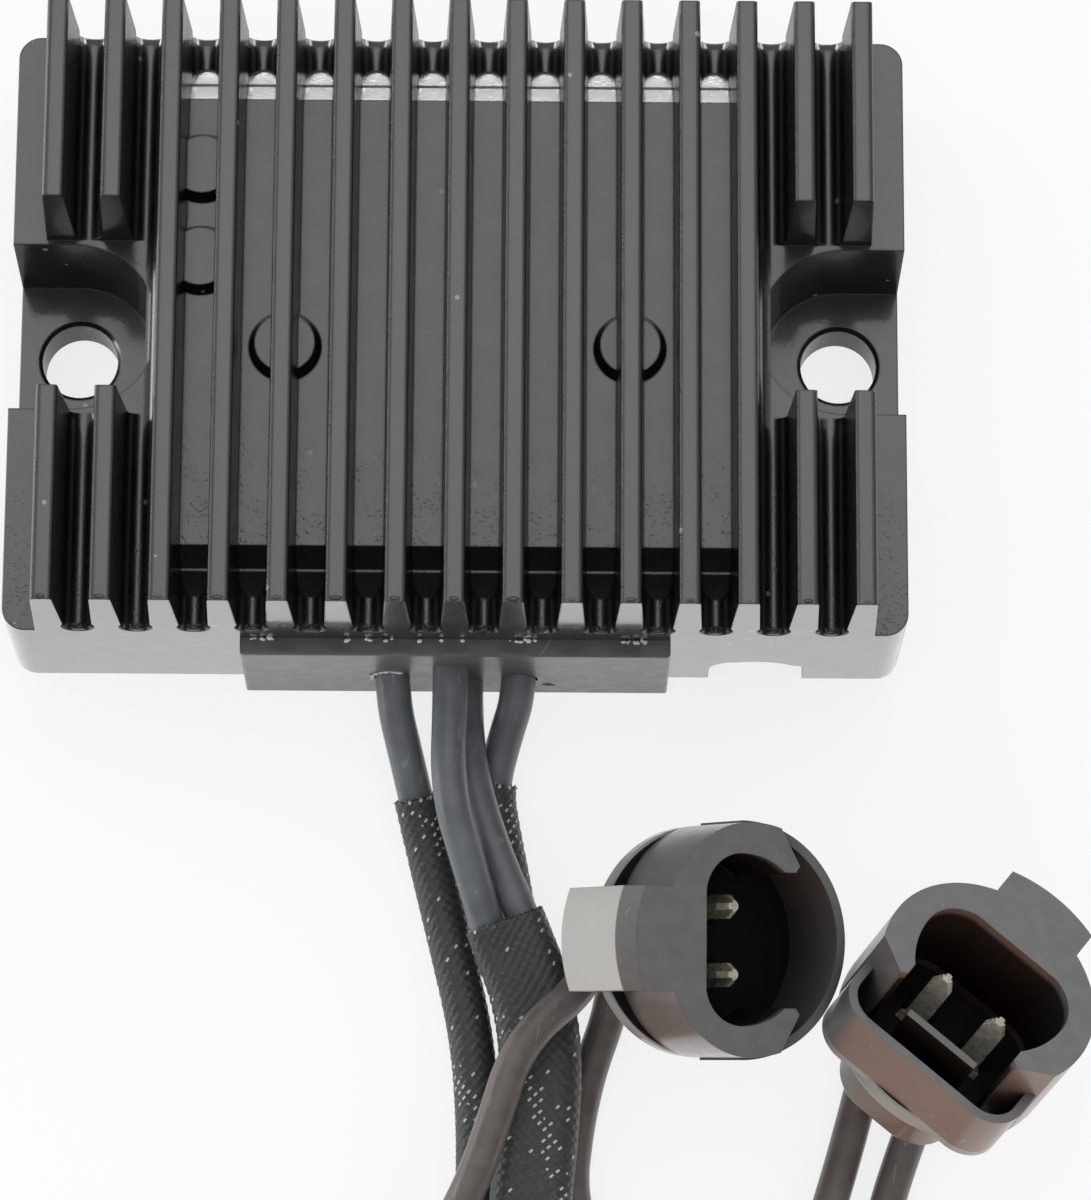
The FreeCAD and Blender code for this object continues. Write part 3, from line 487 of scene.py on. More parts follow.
def fibres_at(name, line, start, count, seed):
    """Thin bent tubes round a sleeve's mouth."""
    draw = random.Random(seed)
    middle, ahead = even(line, start * mm, (start + 1) * mm, mm)[:2]
    out_way = (middle - ahead).normalized()
    side = out_way.cross(Vector((0, 0, 1))).normalized()
    rise = side.cross(out_way)
    verts, faces = [], []
    for _ in range(count):
        angle = draw.uniform(0, 2 * math.pi)
        away = side * math.cos(angle) + rise * math.sin(angle)
        draw.choice((0, 1))  # spends a draw, so that each fibre keeps its place
        place = middle + (away * mouth_radius - out_way * 0.3) * mm
        heading = (out_way + away * draw.uniform(-0.1, 0.25) + side * draw.uniform(-0.5, 0.5)).normalized()
        first = len(verts)
        for _ in range(fibre_rows):
            for k in range(fibre_sides):
                turn = 2 * math.pi * k / fibre_sides
                round_way = side * math.cos(turn) + away * math.sin(turn)
                verts.append(tuple(place + round_way * fibre_radius * mm))
            place = place + heading * draw.uniform(0.15, 0.35) * mm
            heading = (heading + away * draw.uniform(0.0, 0.3) + side * draw.uniform(-0.5, 0.5)).normalized()
        for row in range(fibre_rows - 1):
            here = first + row * fibre_sides
            above = here + fibre_sides
            for k in range(fibre_sides):
                n = (k + 1) % fibre_sides
                faces.append((here + k, here + n, above + n, above + k))
        faces.append((first + 2, first + 1, first))
        faces.append((above, above + 1, above + 2))
    mesh = bpy.data.meshes.new(name)
    mesh.from_pydata(verts, [], faces)
    piece = show(bpy.data.objects.new(name, mesh))
    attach(piece, "root")
    return piece


loose = {
    "fibres_left": fibres_at("fibres_left", lines["lead_left"], 24.3, 26, 1),
    "fibres_right": fibres_at("fibres_right", lines["lead_right"], 22.5, 26, 2),
    "fibres_pair": fibres_at("fibres_pair", lines["lead_upper"], pair_span[0] + 0.1, 34, 3),
}
print("fibres", list(loose))

# %% [markdown]
# ## The cords
# Each lead is a free cord that leaves the block's face and ends in its plug.

# %% [markdown]
# ## Shader groups
# Effects that several finishes share are node groups. Each one is built once, takes plain numbers, and puts
# out only masks, heights or colours. The shaders stay in the materials.

# %% A helper for groups and materials
def new_group(name, inputs, outputs):
    """A shader group with the named sockets. Inputs come with their starting values."""
    tree = bpy.data.node_groups.new(name, "ShaderNodeTree")
    for label, value in inputs.items():
        kind = "NodeSocketColor" if isinstance(value, tuple) and len(value) == 4 else "NodeSocketFloat"
        socket = tree.interface.new_socket(name=label, in_out="INPUT", socket_type=kind)
        socket.default_value = value
    for label, kind in outputs.items():
        tree.interface.new_socket(name=label, in_out="OUTPUT", socket_type=kind)
    return tree, tree.nodes.new("NodeGroupInput"), tree.nodes.new("NodeGroupOutput")


def add(tree, kind, **values):
    """A node with its settings, and plain values or links on its inputs, by name or number."""
    node = tree.nodes.new("ShaderNode" + kind)
    for key, value in values.items():
        if key == "ins":
            for label, source in value.items():
                socket = node.inputs[label]
                if isinstance(source, bpy.types.NodeSocket):
                    tree.links.new(source, socket)
                else:
                    socket.default_value = source
        else:
            setattr(node, key, value)
    return node


def math_node(tree, operation, a, b=0.0, clamp=False):
    """The result of one sum, of values or links."""
    return add(tree, "Math", operation=operation, use_clamp=clamp, ins={0: a, 1: b}).outputs[0]


def ramp(tree, value, low, high, to_low=0.0, to_high=1.0):
    """Maps a value from low..high to to_low..to_high and clamps it."""
    return add(tree, "MapRange", ins={"Value": value, "From Min": low, "From Max": high,
                                      "To Min": to_low, "To Max": to_high}).outputs[0]


def place_of(tree):
    """Where a point lies on its own object, in metres."""
    return add(tree, "TexCoord").outputs["Object"]


# %% [markdown]
# Paint, moulded plastic and rubber all have a fine, uneven skin. One group gives that skin as a height, with
# a coarse swell and a fine grain whose sizes are set in grains per metre, because the scene is in metres.

# %% Group: skin
skin, inside, outside = new_group(
    "skin", {"Coarse": 300.0, "Fine": 2500.0, "Balance": 0.5},
    {"Height": "NodeSocketFloat", "Mask": "NodeSocketFloat"})
where = place_of(skin)
swell = add(skin, "TexNoise", ins={"Vector": where, "Scale": inside.outputs["Coarse"], "Detail": 3.0})
grain = add(skin, "TexNoise", ins={"Vector": where, "Scale": inside.outputs["Fine"], "Detail": 4.0})
mixed = add(skin, "Mix", ins={0: inside.outputs["Balance"], 2: swell.outputs[0], 3: grain.outputs[0]})
skin.links.new(mixed.outputs[0], outside.inputs["Height"])
skin.links.new(ramp(skin, swell.outputs[0], 0.35, 0.65), outside.inputs["Mask"])
print("group skin ready")

# %% [markdown]
# Dust and small chips are scattered dots. A Voronoi texture gives the distance to the nearest of many
# points. Only some of its cells carry a dot, which a second, random value of the same cell decides.

# %% Group: specks
specks, inside, outside = new_group(
    "specks", {"Scale": 900.0, "Size": 0.2, "Share": 0.1}, {"Mask": "NodeSocketFloat"})
cells = add(specks, "TexVoronoi", ins={"Vector": place_of(specks), "Scale": inside.outputs["Scale"]})
dot = math_node(specks, "LESS_THAN", cells.outputs["Distance"], inside.outputs["Size"])
chosen = add(specks, "SeparateColor", ins={0: cells.outputs["Color"]})
kept = math_node(specks, "LESS_THAN", chosen.outputs[0], inside.outputs["Share"])
specks.links.new(math_node(specks, "MULTIPLY", dot, kept), outside.inputs["Mask"])
print("group specks ready")

# %% [markdown]
# Fine scratches are noise stretched along one way and cut down to its thinnest peaks.

# %% Group: scratches
scratches, inside, outside = new_group(
    "scratches", {"Across": 1500.0, "Along": 60.0, "Turn": 0.6, "Share": 0.05}, {"Mask": "NodeSocketFloat"})
turned = add(scratches, "VectorRotate", rotation_type="Z_AXIS",
             ins={"Vector": place_of(scratches), "Angle": inside.outputs["Turn"]})
scaled = add(scratches, "CombineXYZ", ins={0: inside.outputs["Across"], 1: inside.outputs["Along"],
                                           2: inside.outputs["Across"]})
stretched = add(scratches, "VectorMath", operation="MULTIPLY",
                ins={0: turned.outputs[0], 1: scaled.outputs[0]})
lines_noise = add(scratches, "TexNoise", ins={"Vector": stretched.outputs[0], "Scale": 1.0, "Detail": 2.0})
edge_low = math_node(scratches, "SUBTRACT", 0.78, inside.outputs["Share"])
thin = math_node(scratches, "GREATER_THAN", lines_noise.outputs[0], edge_low)
scratches.links.new(thin, outside.inputs["Mask"])
print("group scratches ready")

# %% [markdown]
# ## Materials
# A helper makes a material with one Principled shader and hands back its tree. Numbers that are the same all
# over a surface are written on the shader itself. The other helpers multiply masks, lay one colour over
# another, and mark where a surface lies.

# %% Material helpers
def finish(name, **settings):
    """A material with plain values on its Principled shader."""
    material = bpy.data.materials.new(name)
    material.use_nodes = True
    shader = material.node_tree.nodes["Principled BSDF"]
    for label, value in settings.items():
        shader.inputs[label.replace("_", " ")].default_value = value
    return material, material.node_tree, shader


def group(tree, shared, **values):
    """A shared group with its plain numbers."""
    node = tree.nodes.new("ShaderNodeGroup")
    node.node_tree = shared
    for label, value in values.items():
        node.inputs[label].default_value = value
    return node


def bump(tree, shader, height, strength, distance, before=None):
    """Gives the shader a relief, on top of the one before, and hands the new normal back."""
    node = add(tree, "Bump", ins={"Height": height, "Strength": strength, "Distance": distance * mm})
    if before is not None:
        tree.links.new(before, node.inputs["Normal"])
    tree.links.new(node.outputs[0], shader.inputs["Normal"])
    return node.outputs[0]


def product(tree, *factors):
    """Multiplies masks, or masks and plain numbers."""
    result = factors[0]
    for factor in factors[1:]:
        result = math_node(tree, "MULTIPLY", result, factor)
    return result


def blend(tree, mask, under, over, kind="MIX"):
    """Lays one colour over another by a mask. Each is three numbers or a link."""
    mixed = add(tree, "Mix", data_type="RGBA", blend_type=kind, ins={0: mask})
    for label, colour in (("A", under), ("B", over)):
        if isinstance(colour, tuple):
            mixed.inputs[label].default_value = (*colour, 1)
        else:
            tree.links.new(colour, mixed.inputs[label])
    return mixed.outputs["Result"]


def parts_of(tree, vector):
    """The three parts of a vector."""
    return add(tree, "SeparateXYZ", ins={0: vector}).outputs[:]


def along(tree, vector, way):
    """How far a vector reaches one way."""
    return add(tree, "VectorMath", operation="DOT_PRODUCT", ins={0: vector, 1: way}).outputs["Value"]


def zone(tree, place, start, end, at_start=0.0, at_end=1.0):
    """A mask that changes between two places, which are in millimetres."""
    return ramp(tree, place, start * mm, end * mm, at_start, at_end)


def off_centre(tree, value):
    """How far a value lies from the middle between two whole numbers."""
    return math_node(tree, "ABSOLUTE", math_node(tree, "SUBTRACT", math_node(tree, "FRACT", value), 0.5))


# %% [markdown]
# The casting is painted gloss black, in a thick wet coat over a rougher ground. Thick paint rounds every
# edge, so a bevel node turns the normals there and the edges catch thin lines of light. On the fins' steep
# flanks and front ends and on the walls of the holes the paint is thin and dull. The skin is a soft orange
# peel with grey specks of dust in it.

# %% Paint on the casting: colour and coat
hole_spacing = 101.6
hole_radius = 5.05
paint, tree, shader = finish("casting_paint", IOR=1.62, Coat_IOR=1.6, Coat_Roughness=0.09)
where = place_of(tree)
x, y, z = parts_of(tree, where)
facing_x, facing_y, facing_z = parts_of(tree, add(tree, "NewGeometry").outputs["True Normal"])

flanks = ramp(tree, math_node(tree, "ABSOLUTE", facing_x), 0.8, 0.97)
fin_ends = product(tree, ramp(tree, facing_y, -0.4, -0.7), zone(tree, y, -37.0, -34.0))
from_hole = math_node(tree, "SUBTRACT", math_node(tree, "ABSOLUTE", x), hole_spacing / 2 * mm)
off_axis = math_node(tree, "SQRT", math_node(
    tree, "ADD", math_node(tree, "POWER", from_hole, 2.0), math_node(tree, "POWER", y, 2.0)))
hole_wall = math_node(tree, "LESS_THAN", off_axis, (hole_radius + 0.1) * mm)
thin_paint = math_node(tree, "MAXIMUM", flanks, math_node(tree, "MAXIMUM", fin_ends, hole_wall))

surface = group(tree, skin, Coarse=260.0, Fine=1700.0, Balance=0.55)
dust = group(tree, specks, Scale=420.0, Size=0.16, Share=0.05)
black = blend(tree, surface.outputs["Mask"], (0.009, 0.009, 0.0095), (0.014, 0.0138, 0.0138))
dusty = blend(tree, product(tree, dust.outputs[0], 0.6), black, (0.35, 0.34, 0.33))
tree.links.new(dusty, shader.inputs["Base Color"])
wet_coat = math_node(tree, "SUBTRACT", 1.0, product(tree, thin_paint, 0.9))
tree.links.new(wet_coat, shader.inputs["Coat Weight"])
tree.links.new(product(tree, wet_coat, 0.5), shader.inputs["Specular IOR Level"])
tree.links.new(ramp(tree, surface.outputs["Mask"], 0, 1, 0.26, 0.31), shader.inputs["Roughness"])
print("paint coloured")

# %% [markdown]
# Three reliefs follow on the rounded edges: the skin itself, which is faint on the upright front, a slight
# crown on the fins' tops, and droplets on the lower roof towards the front slope. The fins are counted
# across by their pitch, with whole pitches added so that the count stays above zero.

# %% Paint on the casting: relief
skin_depth = ramp(tree, facing_y, -0.95, -0.5, 0.015, 0.25)
fin_number = math_node(tree, "ADD", math_node(tree, "DIVIDE", x, fin_pitch * mm), 1000.5)
crown_drop = math_node(tree, "POWER", product(tree, off_centre(tree, fin_number), 5.5), 2.5, clamp=True)
fin_tops = product(tree, ramp(tree, facing_z, 0.9, 0.98), zone(tree, z, 36.0, 37.0))
crown = product(tree, math_node(tree, "SUBTRACT", 1.0, crown_drop), fin_tops)
droplets = add(tree, "TexVoronoi", ins={"Vector": where, "Scale": 1900.0})
wet = product(tree, zone(tree, y, -10.0, -31.0), ramp(tree, surface.outputs["Height"], 0.46, 0.6),
              zone(tree, z, 27.5, 28.5, 1.0, 0.0))
beads = product(tree, ramp(tree, droplets.outputs["Distance"], 0.45, 0.1), wet)
edges = add(tree, "Bevel", samples=3, ins={"Radius": 0.35 * mm})
relief = bump(tree, shader, surface.outputs["Height"], skin_depth, 0.05, edges.outputs[0])
relief = bump(tree, shader, crown, 1.0, 0.2, relief)
relief = bump(tree, shader, beads, 0.5, 0.05, relief)
tree.links.new(relief, shader.inputs["Coat Normal"])
print("paint ready")

# %% [markdown]
# The block and the plugs are filled plastic with a satin skin, faintly mottled and full of fine grain.
# Little light gets into their hollows, so an ambient occlusion node paints shade there, into their colour,
# coat and specular level. Faces that turn to the front are tinted as a painted shade, darker and warmer on
# the plugs. In a plug, masks are measured from the middle of its mouth: painted shade makes the cavity's
# floor and wall darkest, a painted highlight makes the left plug's key tab pale, and the flange's edge is
# made paler.

# %% Masks of a plug
flange_depth = 12.8
plug_places = {
    "left": ((37.56, -84.70, 38.0), (0.465, -0.158, 0.871), (-0.8853, -0.083, 0.4576)),
    "right": ((67.8, -88.6, 32.1), (0.3465, 0.3295, 0.8783), (0.5313, 0.7027, -0.4732)),
}


def plug_masks(tree, mouth, opens, to_tab, tab_glare_strength):
    """Two masks from 0 to 1: where painted shade darkens the cavity's floor and wall, and where a painted
    highlight makes the tab pale and the flange's edge paler.
    The mouth's middle is in millimetres. opens and to_tab are directions."""
    from_mouth = add(tree, "VectorMath", operation="SUBTRACT",
                     ins={0: place_of(tree), 1: Vector(mouth) * mm}).outputs[0]
    looks_out = along(tree, add(tree, "NewGeometry").outputs["True Normal"], opens)
    depth_in = product(tree, along(tree, from_mouth, opens), -1.0)
    reach_out = add(tree, "VectorMath", operation="LENGTH", ins={0: from_mouth}).outputs["Value"]
    off_axis = math_node(tree, "SQRT", math_node(
        tree, "SUBTRACT", math_node(tree, "POWER", reach_out, 2.0), math_node(tree, "POWER", depth_in, 2.0)))
    # Masks for the painted shade on the cavity's floor and wall.
    cavity_floor = product(tree, zone(tree, depth_in, 5.5, 6.5), ramp(tree, looks_out, 0.85, 0.95))
    cavity_wall = product(
        tree, math_node(tree, "LESS_THAN", off_axis, 12.0 * mm), zone(tree, depth_in, 0.8, 1.6),
        math_node(tree, "LESS_THAN", depth_in, flange_depth * mm), ramp(tree, looks_out, 0.6, 0.4))
    flange_edge = product(
        tree, math_node(tree, "GREATER_THAN", off_axis, 14.3 * mm),
        math_node(tree, "GREATER_THAN", depth_in, (flange_depth + 0.05) * mm),
        math_node(tree, "LESS_THAN", depth_in, 15.5 * mm))
    # Painted highlight on the tab, and a paler flange edge.
    tab = product(tree, zone(tree, along(tree, from_mouth, to_tab), 15.8, 16.6, 0.0, tab_glare_strength),
                  zone(tree, depth_in, 1.8, 2.1))
    return (math_node(tree, "MAXIMUM", cavity_floor, cavity_wall),
            math_node(tree, "MAXIMUM", tab, product(tree, flange_edge, 0.6)))


# %% Mouldings
def moulding(name, low, high, rough, fine, depth, scratch_share, coat, painted_front_shade, cavity_painted_shade, plug=None,
             tab_glare_strength=0.0):
    """A moulded plastic. One colour is a painted shade that tints what faces the front, and one number sets
    how dark the painted shade in its hollows is. A plug gives its mouth, the way that it opens and the way to
    its tab, and a number for the painted highlight on its tab."""
    material, tree, shader = finish(name, IOR=1.5, Coat_Weight=coat, Coat_Roughness=0.22)
    surface = group(tree, skin, Coarse=500.0, Fine=fine, Balance=0.7)
    marks = group(tree, scratches, Share=scratch_share)
    colour = blend(tree, surface.outputs["Mask"], low, high)
    facing_y = parts_of(tree, add(tree, "NewGeometry").outputs["Normal"])[1]
    # Painted shade: faces that turn to the front are tinted darker and warmer.
    colour = blend(tree, ramp(tree, facing_y, -0.15, -0.6), colour, painted_front_shade, kind="MULTIPLY")
    # Painted shade: ambient occlusion darkens the colour, coat and specular level in hollows.
    open_share = add(tree, "AmbientOcclusion", samples=2, ins={"Distance": 18 * mm}).outputs["AO"]
    shade = ramp(tree, open_share, 0.36, 0.62, cavity_painted_shade, 1.0)
    if plug:
        cavity_shade_mask, tab_glare_and_pale_edge = plug_masks(tree, *plug, tab_glare_strength)
        # Painted shade: the cavity's floor and wall are darkened further.
        shade = product(tree, shade, ramp(tree, cavity_shade_mask, 0, 1, 1.0, 0.15))
        # Painted highlight: the left plug's key tab is made pale, and the flange's edge is made paler.
        colour = blend(tree, tab_glare_and_pale_edge, colour, (0.36, 0.345, 0.325))
    scratched = blend(tree, product(tree, marks.outputs[0], 0.3), colour, (0.4, 0.4, 0.4))
    shaded = add(tree, "VectorMath", operation="SCALE", ins={0: scratched, "Scale": shade})
    tree.links.new(shaded.outputs[0], shader.inputs["Base Color"])
    tree.links.new(product(tree, shade, coat), shader.inputs["Coat Weight"])
    tree.links.new(product(tree, shade, 0.5), shader.inputs["Specular IOR Level"])
    tree.links.new(ramp(tree, surface.outputs["Mask"], 0, 1, rough - 0.05, rough + 0.06),
                   shader.inputs["Roughness"])
    edges = add(tree, "Bevel", samples=2, ins={"Radius": 0.3 * mm})
    bump(tree, shader, surface.outputs["Height"], 0.45, depth, edges.outputs[0])
    return material


block_plastic = moulding("block_plastic", (0.088, 0.086, 0.083), (0.11, 0.107, 0.103), rough=0.42,
                         fine=3000.0, depth=0.03, scratch_share=0.0, coat=0.3,
                         painted_front_shade=(1.0, 0.99, 0.97), cavity_painted_shade=0.6)
plug_look = {"rough": 0.44, "fine": 3600.0, "depth": 0.06, "coat": 0.8, "cavity_painted_shade": 0.1}
plug_plastics = {
    "left": moulding("left_plug_plastic", (0.118, 0.118, 0.118), (0.132, 0.132, 0.131), scratch_share=0.05,
                     painted_front_shade=(1.1, 0.8, 0.7), plug=plug_places["left"], tab_glare_strength=1.0, **plug_look),
    "right": moulding("right_plug_plastic", (0.150, 0.151, 0.150), (0.168, 0.168, 0.167), scratch_share=0.06,
                      painted_front_shade=(1.25, 0.74, 0.58), plug=plug_places["right"], **plug_look),
}
print("mouldings ready")

# %% [markdown]
# The jackets are smooth silicone rubber: blue-grey near the block, and a warmer, darker brown-grey towards
# the plugs and where the leads rise near them.

# %% Rubber jackets
jacket, tree, shader = finish("lead_jacket", IOR=1.5, Coat_Weight=0.35, Coat_Roughness=0.3)
surface = group(tree, skin, Coarse=350.0, Fine=4200.0, Balance=0.6)
scuffs = group(tree, scratches, Across=900.0, Along=120.0, Turn=0.2, Share=0.09)
x, y, z = parts_of(tree, place_of(tree))
raised = product(tree, zone(tree, z, 9.5, 12.5), zone(tree, y, -78.0, -92.0))
# A warmer, darker brown-grey towards the plugs and where the leads rise near them.
warm_part = math_node(tree, "MAXIMUM", zone(tree, x, 13.5, 18.0), raised)
cool = blend(tree, surface.outputs["Mask"], (0.10, 0.11, 0.118), (0.13, 0.142, 0.152))
warm = blend(tree, surface.outputs["Mask"], (0.10, 0.082, 0.074), (0.13, 0.11, 0.10))
rubber = blend(tree, warm_part, cool, warm)
scuffed = blend(tree, product(tree, scuffs.outputs[0], 0.18), rubber, (0.4, 0.42, 0.43))
tree.links.new(scuffed, shader.inputs["Base Color"])
tree.links.new(ramp(tree, surface.outputs["Mask"], 0, 1, 0.40, 0.5), shader.inputs["Roughness"])
bump(tree, shader, surface.outputs["Height"], 0.3, 0.05)
print("jacket ready")

# %% [markdown]
# The braid's relief is real, so its material only adds the thin bright fibres of the glass, pale flecks
# where the varnish has worn off a strand, and a gloss. The braid's own coordinates, in millimetres, say
# where a strand runs. The flecks crowd along one line that winds slowly round the sleeve.

# %% Braid
winding_length = 44.0
braid_finish, tree, shader = finish("braid_varnish", IOR=1.5, Roughness=0.42)
round_edge, down_length, _ = parts_of(tree, add(tree, "UVMap", uv_map="braid").outputs[0])
fibre_a = math_node(tree, "ADD", round_edge, down_length)
fibre_b = math_node(tree, "SUBTRACT", round_edge, down_length)
fibres = []
for along_fibre, across_fibre in ((fibre_a, fibre_b), (fibre_b, fibre_a)):
    stretched = add(tree, "CombineXYZ", ins={0: product(tree, along_fibre, 0.5),
                                             1: product(tree, across_fibre, 9.0)})
    noise = add(tree, "TexNoise", ins={"Vector": stretched.outputs[0], "Scale": 1.0, "Detail": 2.0})
    fibres.append(ramp(tree, noise.outputs[0], 0.62, 0.72))
bright = math_node(tree, "MAXIMUM", *fibres)
cell_a = math_node(tree, "DIVIDE", fibre_a, strand_pitch)
cell_b = math_node(tree, "DIVIDE", fibre_b, strand_pitch)
from_middle = math_node(tree, "MAXIMUM", off_centre(tree, cell_a),
                        product(tree, off_centre(tree, cell_b), 1.9))
inside_cell = math_node(tree, "LESS_THAN", from_middle, 0.27)
cell = add(tree, "CombineXYZ", ins={0: math_node(tree, "FLOOR", cell_a), 1: math_node(tree, "FLOOR", cell_b)})
draw = add(tree, "TexWhiteNoise", noise_dimensions="2D", ins={"Vector": cell.outputs[0]})
winding = math_node(tree, "ADD", math_node(tree, "DIVIDE", down_length, winding_length),
                    math_node(tree, "DIVIDE", round_edge, 2 * math.pi * sleeve_outer))
fleck_share = ramp(tree, off_centre(tree, winding), 0.12, 0.02, 0.05, 0.75)
flecks = product(tree, inside_cell, math_node(tree, "LESS_THAN", draw.outputs[0], fleck_share))
base = blend(tree, product(tree, bright, 0.45), (0.042, 0.042, 0.041), (0.32, 0.31, 0.29))
flecked = blend(tree, product(tree, flecks, 0.8), base, (0.62, 0.61, 0.57))
tree.links.new(flecked, shader.inputs["Base Color"])
bump(tree, shader, bright, 0.3, 0.05)
print("braid ready")

# %% [markdown]
# Metal shows in two places only: the tin-plated pins in the plugs, and, hidden, the screws.

# %% Metals
def metal(name, colour, rough, flaw, metallic):
    """A bare metal. flaw is how much darker its spots are."""
    material, tree, shader = finish(name, Metallic=metallic)
    surface = group(tree, skin, Coarse=900.0, Fine=6000.0, Balance=0.5)
    low = tuple(c * flaw for c in colour)
    tree.links.new(blend(tree, surface.outputs["Mask"], low, colour), shader.inputs["Base Color"])
    tree.links.new(ramp(tree, surface.outputs["Mask"], 0, 1, rough, rough + 0.12), shader.inputs["Roughness"])
    bump(tree, shader, surface.outputs["Height"], 0.4, 0.04)
    return material


pin_plating = metal("pin_plating", (0.86, 0.82, 0.68), 0.22, 0.75, 0.55)
screw_zinc = metal("screw_zinc", (0.6, 0.6, 0.62), 0.3, 0.85, 1.0)
print("metals ready")

# %% [markdown]
# The rest is small, hidden or seen only from below: black resin, the green board and its parts, the rubber
# seals, the resin crumbs and the loose fibres. Each gets its own plain colours on the same kind of skin.

# %% Plain finishes
def plain(name, low, high, rough, coarse=400.0, fine=3000.0):
    """Two close colours on a fine skin."""
    material, tree, shader = finish(name, IOR=1.5)
    surface = group(tree, skin, Coarse=coarse, Fine=fine, Balance=0.5)
    tree.links.new(blend(tree, surface.outputs["Mask"], low, high), shader.inputs["Base Color"])
    tree.links.new(ramp(tree, surface.outputs["Mask"], 0, 1, rough, rough + 0.1), shader.inputs["Roughness"])
    bump(tree, shader, surface.outputs["Height"], 0.4, 0.05)
    return material


resin = plain("resin", (0.012, 0.012, 0.013), (0.022, 0.021, 0.02), 0.14, coarse=60.0)
laminate = plain("laminate", (0.03, 0.12, 0.035), (0.05, 0.17, 0.05), 0.35)
device_black = plain("device_black", (0.015, 0.015, 0.016), (0.025, 0.025, 0.026), 0.5)
silicone_pad = plain("silicone_pad", (0.42, 0.43, 0.45), (0.5, 0.51, 0.53), 0.6)
can_sleeve = plain("can_sleeve", (0.02, 0.03, 0.10), (0.03, 0.045, 0.14), 0.25)
resistor_lacquer = plain("resistor_lacquer", (0.45, 0.36, 0.24), (0.55, 0.45, 0.32), 0.4)
crumb_resin = plain("crumb_resin", (0.55, 0.54, 0.52), (0.75, 0.74, 0.72), 0.3)
glass_fibre = plain("glass_fibre", (0.45, 0.44, 0.41), (0.6, 0.59, 0.55), 0.3)
seal_rubber = plain("seal_rubber", (0.012, 0.012, 0.012), (0.022, 0.022, 0.022), 0.55)
print("hidden finishes ready")

# %% [markdown]
# ## Giving out the finishes
# A CAD node keeps its mesh. Its material slots are emptied and filled with the new finish. The small
# leftovers also say which of the part's materials they belong to.

# %% Assign
dress = {
    "heat_sink": paint, "lead_exit_block": block_plastic, "potting_compound": resin,
    "circuit_board": laminate, "thyristor_left": device_black, "diode_left": device_black,
    "diode_right": device_black,
    "thyristor_right": device_black, "thermal_pads": silicone_pad, "clamp_screws": screw_zinc,
    "filter_capacitor": can_sleeve, "control_transistor": device_black, "zener_diode": device_black,
    "sense_resistors": resistor_lacquer,
}
for side in ("left", "right"):
    dress[side + "_plug_housing"] = plug_plastics[side]
    dress[side + "_plug_seal"] = seal_rubber
    dress[side + "_plug_pin_1"] = pin_plating
    dress[side + "_plug_pin_2"] = pin_plating


def wear(obj, material):
    """Gives an object one material."""
    obj.data.materials.clear()
    obj.data.materials.append(material)


for name, material in dress.items():
    wear(nodes[name], material)
for wire in wires.values():
    wear(wire, jacket)
for sleeve in sleeves.values():
    wear(sleeve, braid_finish)
leftovers = [(paint_beads, paint, "black_painted_casting"), (resin_crumbs, crumb_resin, "block_moulding"),
             (pit_shade_disc, seal_rubber, "block_moulding")]
leftovers += [(fibre, glass_fibre, "braided_sleeve") for fibre in loose.values()]
for piece, material, slot in leftovers:
    wear(piece, material)
print("dressed", len(dress), "nodes")

# %% [markdown]
# ## Floor and backdrop
# The photograph's ground is plain white. The floor is a pale sheet that still takes the object's shadow.
# Seen by the camera it is mostly plain white light, with a share of lit sheet so that the shadow stays soft
# and light, and glossy things reflect it as plain white.

# %% Floor
white_share = 0.8
floor_mesh = bpy.data.meshes.new("floor")
reach = 3.0
floor_mesh.from_pydata([(-reach, -reach, 0), (reach, -reach, 0), (reach, reach, 0), (-reach, reach, 0)], [],
                       [(0, 1, 2, 3)])
floor = show(bpy.data.objects.new("floor", floor_mesh))
floor.location.z = -0.0002
floor_finish = bpy.data.materials.new("floor_sheet")
floor_finish.use_nodes = True
tree = floor_finish.node_tree
tree.nodes.clear()
output = tree.nodes.new("ShaderNodeOutputMaterial")
sheet = add(tree, "BsdfDiffuse", ins={"Color": (0.96, 0.96, 0.96, 1)})
glow = add(tree, "Emission", ins={"Color": (1, 1, 1, 1), "Strength": 1.0})
path = add(tree, "LightPath")
seen = product(tree, path.outputs["Is Camera Ray"], white_share)
shiny = math_node(tree, "MAXIMUM", path.outputs["Is Glossy Ray"], path.outputs["Is Transmission Ray"])
share = math_node(tree, "MAXIMUM", seen, shiny)
mixed = add(tree, "MixShader", ins={0: share, 1: sheet.outputs[0], 2: glow.outputs[0]})
tree.links.new(mixed.outputs[0], output.inputs[0])
wear(floor, floor_finish)
print("floor ready")

# %% [markdown]
# The world is white for the camera and through clear things, and an even fill for matt ones. The paint
# mirrors a studio instead: bright overhead and behind, dark in front and at the sides, as its reflections
# show.

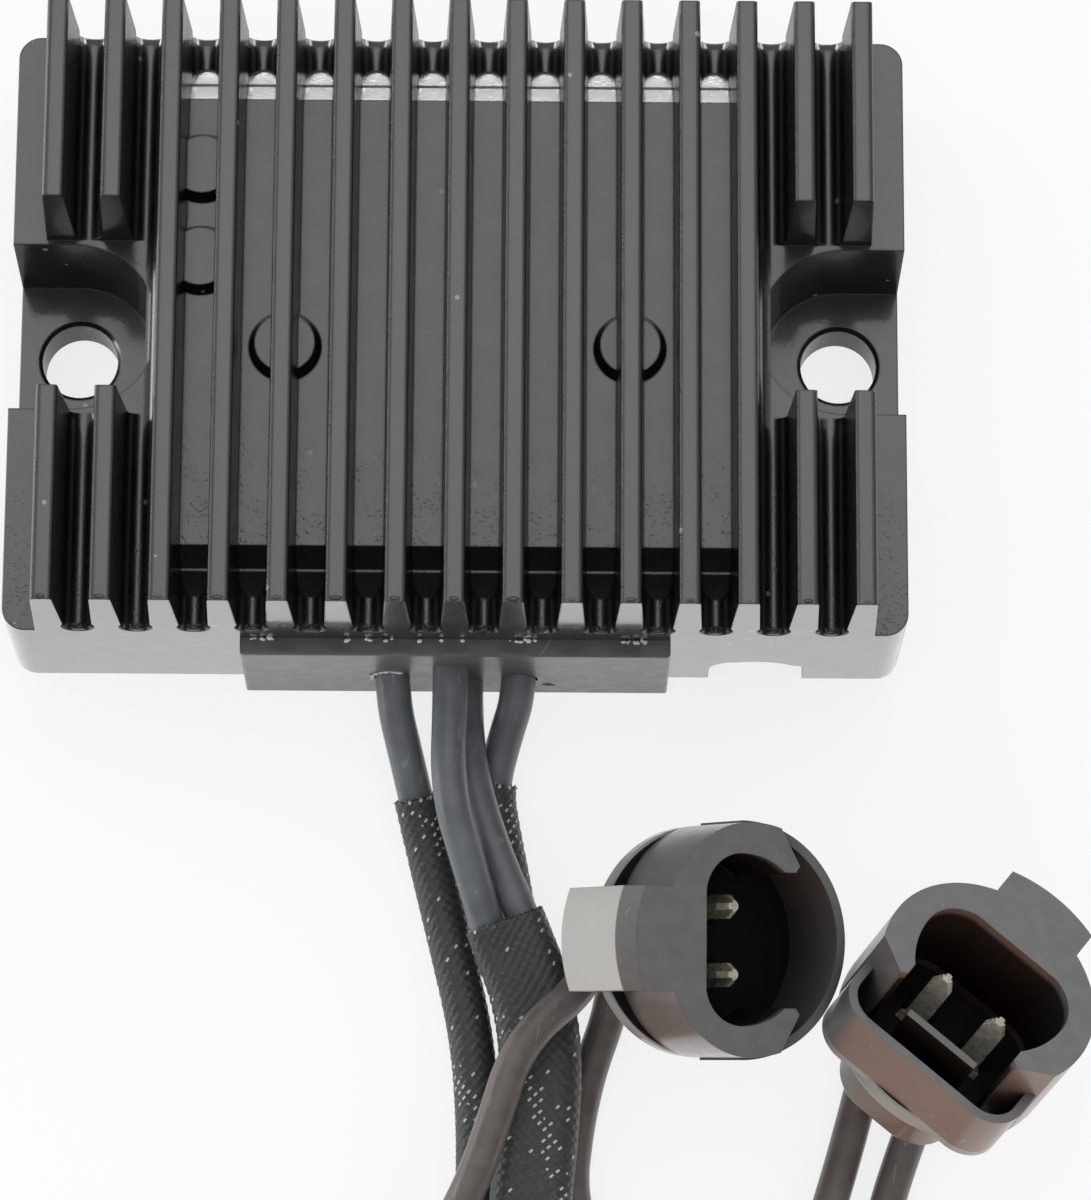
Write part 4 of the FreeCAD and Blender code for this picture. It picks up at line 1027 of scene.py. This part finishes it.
# %% World
world = bpy.data.worlds.new("studio")
bpy.context.scene.world = world
world.use_nodes = True
tree = world.node_tree
tree.nodes.clear()
output = tree.nodes.new("ShaderNodeOutputWorld")
white = add(tree, "Background", ins={"Color": (1, 1, 1, 1), "Strength": 1.0})
fill = add(tree, "Background", ins={"Color": (1, 1, 1, 1), "Strength": 0.8})
_, backward, upward = parts_of(tree, add(tree, "TexCoord").outputs["Generated"])
room = ramp(tree, math_node(tree, "ADD", product(tree, backward, 0.4), upward), 0.35, 1.0, 0.03, 0.62)
mirrored = add(tree, "Background", ins={"Color": (1, 1, 1, 1), "Strength": room})
path = add(tree, "LightPath")
shiny = add(tree, "MixShader",
            ins={0: path.outputs["Is Glossy Ray"], 1: fill.outputs[0], 2: mirrored.outputs[0]})
seen = math_node(tree, "MAXIMUM", path.outputs["Is Camera Ray"], path.outputs["Is Transmission Ray"])
mixed = add(tree, "MixShader", ins={0: seen, 1: shiny.outputs[0], 2: white.outputs[0]})
tree.links.new(mixed.outputs[0], output.inputs[0])
print("world ready")

# %% [markdown]
# ## Lights
# Large soft boxes do the work, as in a product studio. One hangs over and behind the part and gives the
# fins' tops and the roof their grey sheen. One in front lights the leads and the plugs without showing as a
# reflection. A low strip at the back gives the far slope of the roof its bright edge, and a low box at the
# left the left edges theirs.

# %% Lights
def soft_box(name, at, to, width, height, radiance, mirrored=True):
    """A rectangular lamp that shines towards a point, with the brightness that its surface has."""
    data = bpy.data.lights.new(name, "AREA")
    data.shape = "RECTANGLE"
    data.size = width
    data.size_y = height
    data.energy = radiance * math.pi * width * height
    lamp = show(bpy.data.objects.new(name, data))
    lamp.location = at
    lamp.rotation_euler = (Vector(to) - Vector(at)).to_track_quat("-Z", "Y").to_euler()
    lamp.visible_glossy = mirrored
    return lamp


soft_box("overhead", (0.0, 0.32, 0.85), (0, 0, 0), 0.7, 0.35, 0.8)
soft_box("front", (0.0, -0.75, 0.45), (0, -0.03, 0), 0.6, 0.3, 1.6, mirrored=False)
soft_box("back_low", (0.0, 0.16, 0.005), (0, 0.03, 0.024), 0.4, 0.013, 13.0)
soft_box("left_low", (-0.6, 0.06, 0.07), (0.02, -0.09, 0.03), 0.45, 0.2, 4.5)
print("lights ready")

# %% [markdown]
# ## Last settings
# The picture uses Blender's Standard view.

# %% Finish
bpy.context.scene.view_settings.view_transform = "Standard"
bpy.context.view_layer.update()
